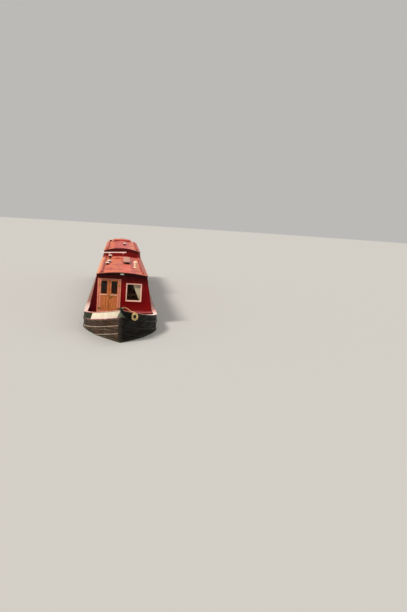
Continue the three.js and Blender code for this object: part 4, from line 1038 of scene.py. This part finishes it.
def roof_finish(name, roof=None, stripe_y=(0.27, 0.4)):
    finish = Finish(name, roughness=0.5, gloss=0.2)
    y = finish.y
    broad = finish.noise(1.3, 5, (0.7, 1.2, 1))
    fine = finish.noise(70, 4)
    patchy = finish.noise(2.2, 4, (0.5, 1, 1)) * 0.5 + 0.4
    leaf = finish.spots(11, 0.09, 0.2) * finish.noise(2.1, 2).step(0.3, 0.6)
    coats = [
        (finish.noise(3.0, 4, (2.6, 0.5, 1)) * broad, (212, 106, 58)),
        (finish.noise(9, 5) * fine * 0.8, (224, 134, 92)),
        (finish.noise(2.3, 6, (0.8, 1.6, 1)).step(0.55, 0.85) * 0.6, (140, 34, 30)),
        (y.band(-0.02, 0.22, 0.06) * patchy * 0.6, (214, 66, 58)),
        (y.band(*stripe_y, 0.03) * patchy, (166, 34, 54)),
        # The starboard edge is painted lighter as highlight and the port edge darker as shade.
        (y.step(0.66, 0.70) * 0.6, (150, 60, 44)),
        (y.step(-0.64, -0.69) * 0.7, (232, 164, 120)),
        (leaf, (240, 196, 148)),
        (finish.spots(37, 0.08, 0.18) * finish.noise(4, 2), (246, 222, 192)),
        (finish.spots(8, 0.05, 0.11) * finish.noise(5, 2), (96, 40, 26)),
    ]
    if roof:
        edge, camber, half, front = roof
        above_top = finish.z + (abs(y) / half) ** 2.0 * camber - (edge + camber)
        front_edge_shade = finish.x.step(front - 0.002, front - 0.001) * finish.z.step(edge - 0.06, edge - 0.05)
        lip_highlight = finish.x.step(front - 0.05, front - 0.03) * above_top.step(-0.012, -0.008) * 0.15
        # Painted shade on the underside and the front edge, and a painted highlight along the front lip.
        coats += [
            (above_top.step(-0.02, -0.024), broad.blend((50, 5, 7), (70, 10, 12))),
            (front_edge_shade, (54, 16, 12)),
            (lip_highlight, (236, 160, 140)),
        ]
    # The salmon is partly sun-faded paint and partly painted sky sheen.
    finish.paint(broad.blend((206, 86, 56), (180, 56, 42)), *coats)
    finish.rough(fine * 0.25 + 0.42)
    finish.relief(fine, 0.0008)
    finish.relief(leaf, 0.0012)
    return finish


dress(roof_finish("salmon_roof_paint", MAIN_ROOF), "main_roof")
dress(roof_finish("salmon_raised_roof_paint", RAISED_ROOF, (-0.32, 0.3)), "raised_roof")
dress(roof_finish("salmon_hatch_paint"), "hatch_slide", "roof_hatch")
rail = Finish("red_rail_enamel", roughness=0.4, gloss=0.3)
# The starboard rails are painted lighter as highlight.
starboard_rail_highlight = rail.y.step(0.1, -0.1) * rail.noise(6, 3) * 0.6
rail.paint(rail.noise(2.5, 4, (0.4, 1, 1)).blend((150, 18, 24), (176, 40, 40)),
           (starboard_rail_highlight, (212, 112, 84)))
rail.relief(rail.noise(90, 3), 0.0005)
dress(rail, *on_both_sides("handrail_main", "handrail_raised"))

# The hatches' fittings: a bent brass grab rail on two turned feet, low across the sliding hatch's
# aft edge, and two steel hinges screwed to the roof hatch.
GRAB_RAIL = [(-0.075, 0), (-0.074, 0.022), (-0.06, 0.03), (0, 0.031), (0.06, 0.03), (0.074, 0.022),
             (0.075, 0)]


def on_box(node, shares, facing=FACES_UP):
    """A place on a solid's box, by its shares of the way from the low corner to the high one."""
    low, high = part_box(node)
    return Place([a + (b - a) * share for a, b, share in zip(low, high, shares)], *facing)


shape = bmesh.new()
grip_place = on_box("hatch_slide", (0, 0.5, 1)).moved(0.07, 0, -0.004)
round_bar(shape, smooth_through([grip_place.at(0, b, c) for b, c in GRAB_RAIL], 4))
for b in (-0.075, 0.075):
    foot = grip_place.moved(0, b, -0.002)
    lathe(shape, foot, [(0.014, 0), (0.014, 0.005), (0.009, 0.008), (0, 0.009)], 14)
add_piece("hatch_slide_grip", shape, brass, "hatch_slide")
shape = bmesh.new()
for end, inward in ((0, 0.07), (1, -0.07)):
    hinge = on_box("roof_hatch", (0, end, 1)).moved(0.05, inward, -0.016)
    plate(shape, hinge, rounded(0.09, 0.034, 0.008), 0, 0.012, 0.002)
add_piece("roof_hatch_hinges", shape, worn_steel)

# What stands on the roofs: mushroom vents with necks painted dark as the shade under their heads,
# a cream flue with brass bands, an old gang plank with battens, painted dark below its top as shade,
# the white staff on two red feet, and the lamp under the roof's edge.
VENTS = 5
VENT_HEAD_HIGH = 0.038
FLUE_BANDS = (0.045, 0.1)
BATTENS = 7
BATTEN_ENDS_IN = 0.15
STAFF_MIDDLE = Vector((STEM_X - 9.2, -0.315, 2.318))
STAFF_HALF = 0.44
STAFF_LEAN = 0.058
STAFF_FEET_BELOW = 0.035


def mottled(name, light, dark, roughness=0.42, coat=0.2):
    """Paint or casting in two near shades, kept as the finish's base for coats over it."""
    finish = Finish(name, roughness=roughness, coat=coat)
    finish.base = finish.noise(20, 5).blend(light, dark)
    finish.paint(finish.base)
    finish.rough(finish.noise(60, 3) * 0.15 + (roughness - 0.05))
    finish.relief(finish.noise(140, 3), 0.0004)
    return finish


for i in range(1, VENTS + 1):
    node = f"roof_vent_{i}"
    head_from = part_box(node)[1].z - VENT_HEAD_HIGH
    vent = mottled(f"white_vent_enamel_{i}", (244, 220, 198), (206, 162, 138))
    # Under each head the neck is painted dark as the shade that the head casts.
    vent.paint(vent.noise(30, 3).blend((84, 34, 28), (48, 24, 22)),
               (vent.z.step(head_from - 0.001, head_from + 0.001), vent.base))
    dress(vent, node)
dress(mottled("cream_flue_enamel", (254, 236, 206), (236, 204, 166)), "flue")
shape = bmesh.new()
for height in FLUE_BANDS:
    hoop(shape, on_box("flue", (0.5, 0.5, 0)), 0.0485, 0.0045, height, 32)
add_piece("flue_bands", shape, brass)

# Below its top face the plank is painted dark as shade.
old_board = wood_finish("old_pale_board", (210, 160, 144), (176, 122, 106),
                        (lambda f: f.z.step(2.226, 2.222), (70, 56, 54), (50, 40, 40)), None, 0.7, 0.0)
dress(old_board, "gang_plank")
plank_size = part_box("gang_plank")[1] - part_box("gang_plank")[0]
shape = bmesh.new()
for i in range(BATTENS):
    a = BATTEN_ENDS_IN + (plank_size.x - 2 * BATTEN_ENDS_IN) * i / (BATTENS - 1)
    plate(shape, on_box("gang_plank", (0, 0.5, 1)).moved(a, 0),
          rounded(0.028, plank_size.y - 0.02, 0.003, 2), -0.001, 0.01, 0.002)
add_piece("plank_battens", shape, old_board)

staff = mottled("white_staff_enamel", (250, 240, 232), (222, 200, 190))
above_middle = staff.z - (staff.y - STAFF_MIDDLE.y) * STAFF_LEAN - STAFF_MIDDLE.z
feet = (above_middle + STAFF_FEET_BELOW).step(0.001, -0.001)
staff.paint(staff.base, (feet, (128, 16, 24)))
dress(staff, "roof_staff")
staff_out = Vector((0, cos(STAFF_LEAN), sin(STAFF_LEAN)))
shape = bmesh.new()
for end in (1, -1):
    tip = Place(STAFF_MIDDLE + staff_out * (end * STAFF_HALF), (1, 0, 0),
                (0, -end * sin(STAFF_LEAN), end * cos(STAFF_LEAN)))
    lathe(shape, tip, [(0.021, -0.03), (0.0235, -0.026), (0.0235, 0.002), (0.016, 0.008), (0, 0.010)], 18)
add_piece("staff_end_caps", shape, staff)

dress(mottled("lamp_grey_paint", (132, 138, 124), (98, 104, 92), 0.5, 0.0), "front_lamp")
shape = bmesh.new()
plate(shape, on_box("front_lamp", (1, 0.5, 0.5), FACES_BOW), rounded(0.092, 0.032, 0.0155, 6),
      -0.001, 0.009, 0.006)
frosted = mottled("frosted_lens", (206, 212, 200), (176, 182, 170), 0.3, 0.3)
add_piece("lamp_lens", shape, frosted)

# The stern gear: rudder with its swan neck in crimson and cream above the deck, brass tiller bar
# with a turned wooden grip, bronze propeller, the stern tube's post, and the engine block.
NECK_FROM_Z = 1.105
NECK_BANDS = ((1.5, 1.56), (1.62, 1.65))
GRIP_PROFILE = [(0.0165, 0), (0.020, 0.004), (0.0185, 0.02), (0.0205, 0.06), (0.0215, 0.09), (0.018, 0.115),
                (0.0195, 0.125), (0.0175, 0.136), (0.009, 0.142), (0, 0.143)]
GRIP_STARTS = -0.118
rudder = mottled("rudder_paint", (126, 8, 20), (108, 4, 14))
cream_bands = rudder.z.band(*NECK_BANDS[0], 0.001).either(rudder.z.band(*NECK_BANDS[1], 0.001))
neck = cream_bands.blend(rudder.base, (238, 228, 200))
rudder.paint(rudder.noise(8, 4).blend((22, 20, 18), (52, 42, 34)),
             (rudder.z.step(NECK_FROM_Z, NECK_FROM_Z + 0.002), neck))
dress(rudder, "rudder")
dress(brass, "tiller", "propeller")
dress(worn_steel, "stern_post")
shape = bmesh.new()
lathe(shape, on_box("tiller", (1, 0.5, 0.5), FACES_BOW).moved(0, 0, GRIP_STARTS), GRIP_PROFILE, 22)
turned_wood = wood_finish("turned_grip", (198, 120, 62), (150, 80, 38))
add_piece("tiller_grip", shape, turned_wood, "rudder")
dress(mottled("grey_casting", (112, 118, 122), (76, 80, 84), 0.5, 0.0), "engine")
ply = Finish("cabin_floor_ply", roughness=0.65)
ply.paint(ply.noise(6, 5, (0.5, 6, 1)).blend((150, 118, 82), (112, 84, 56)))
dress(ply, "cabin_floor")
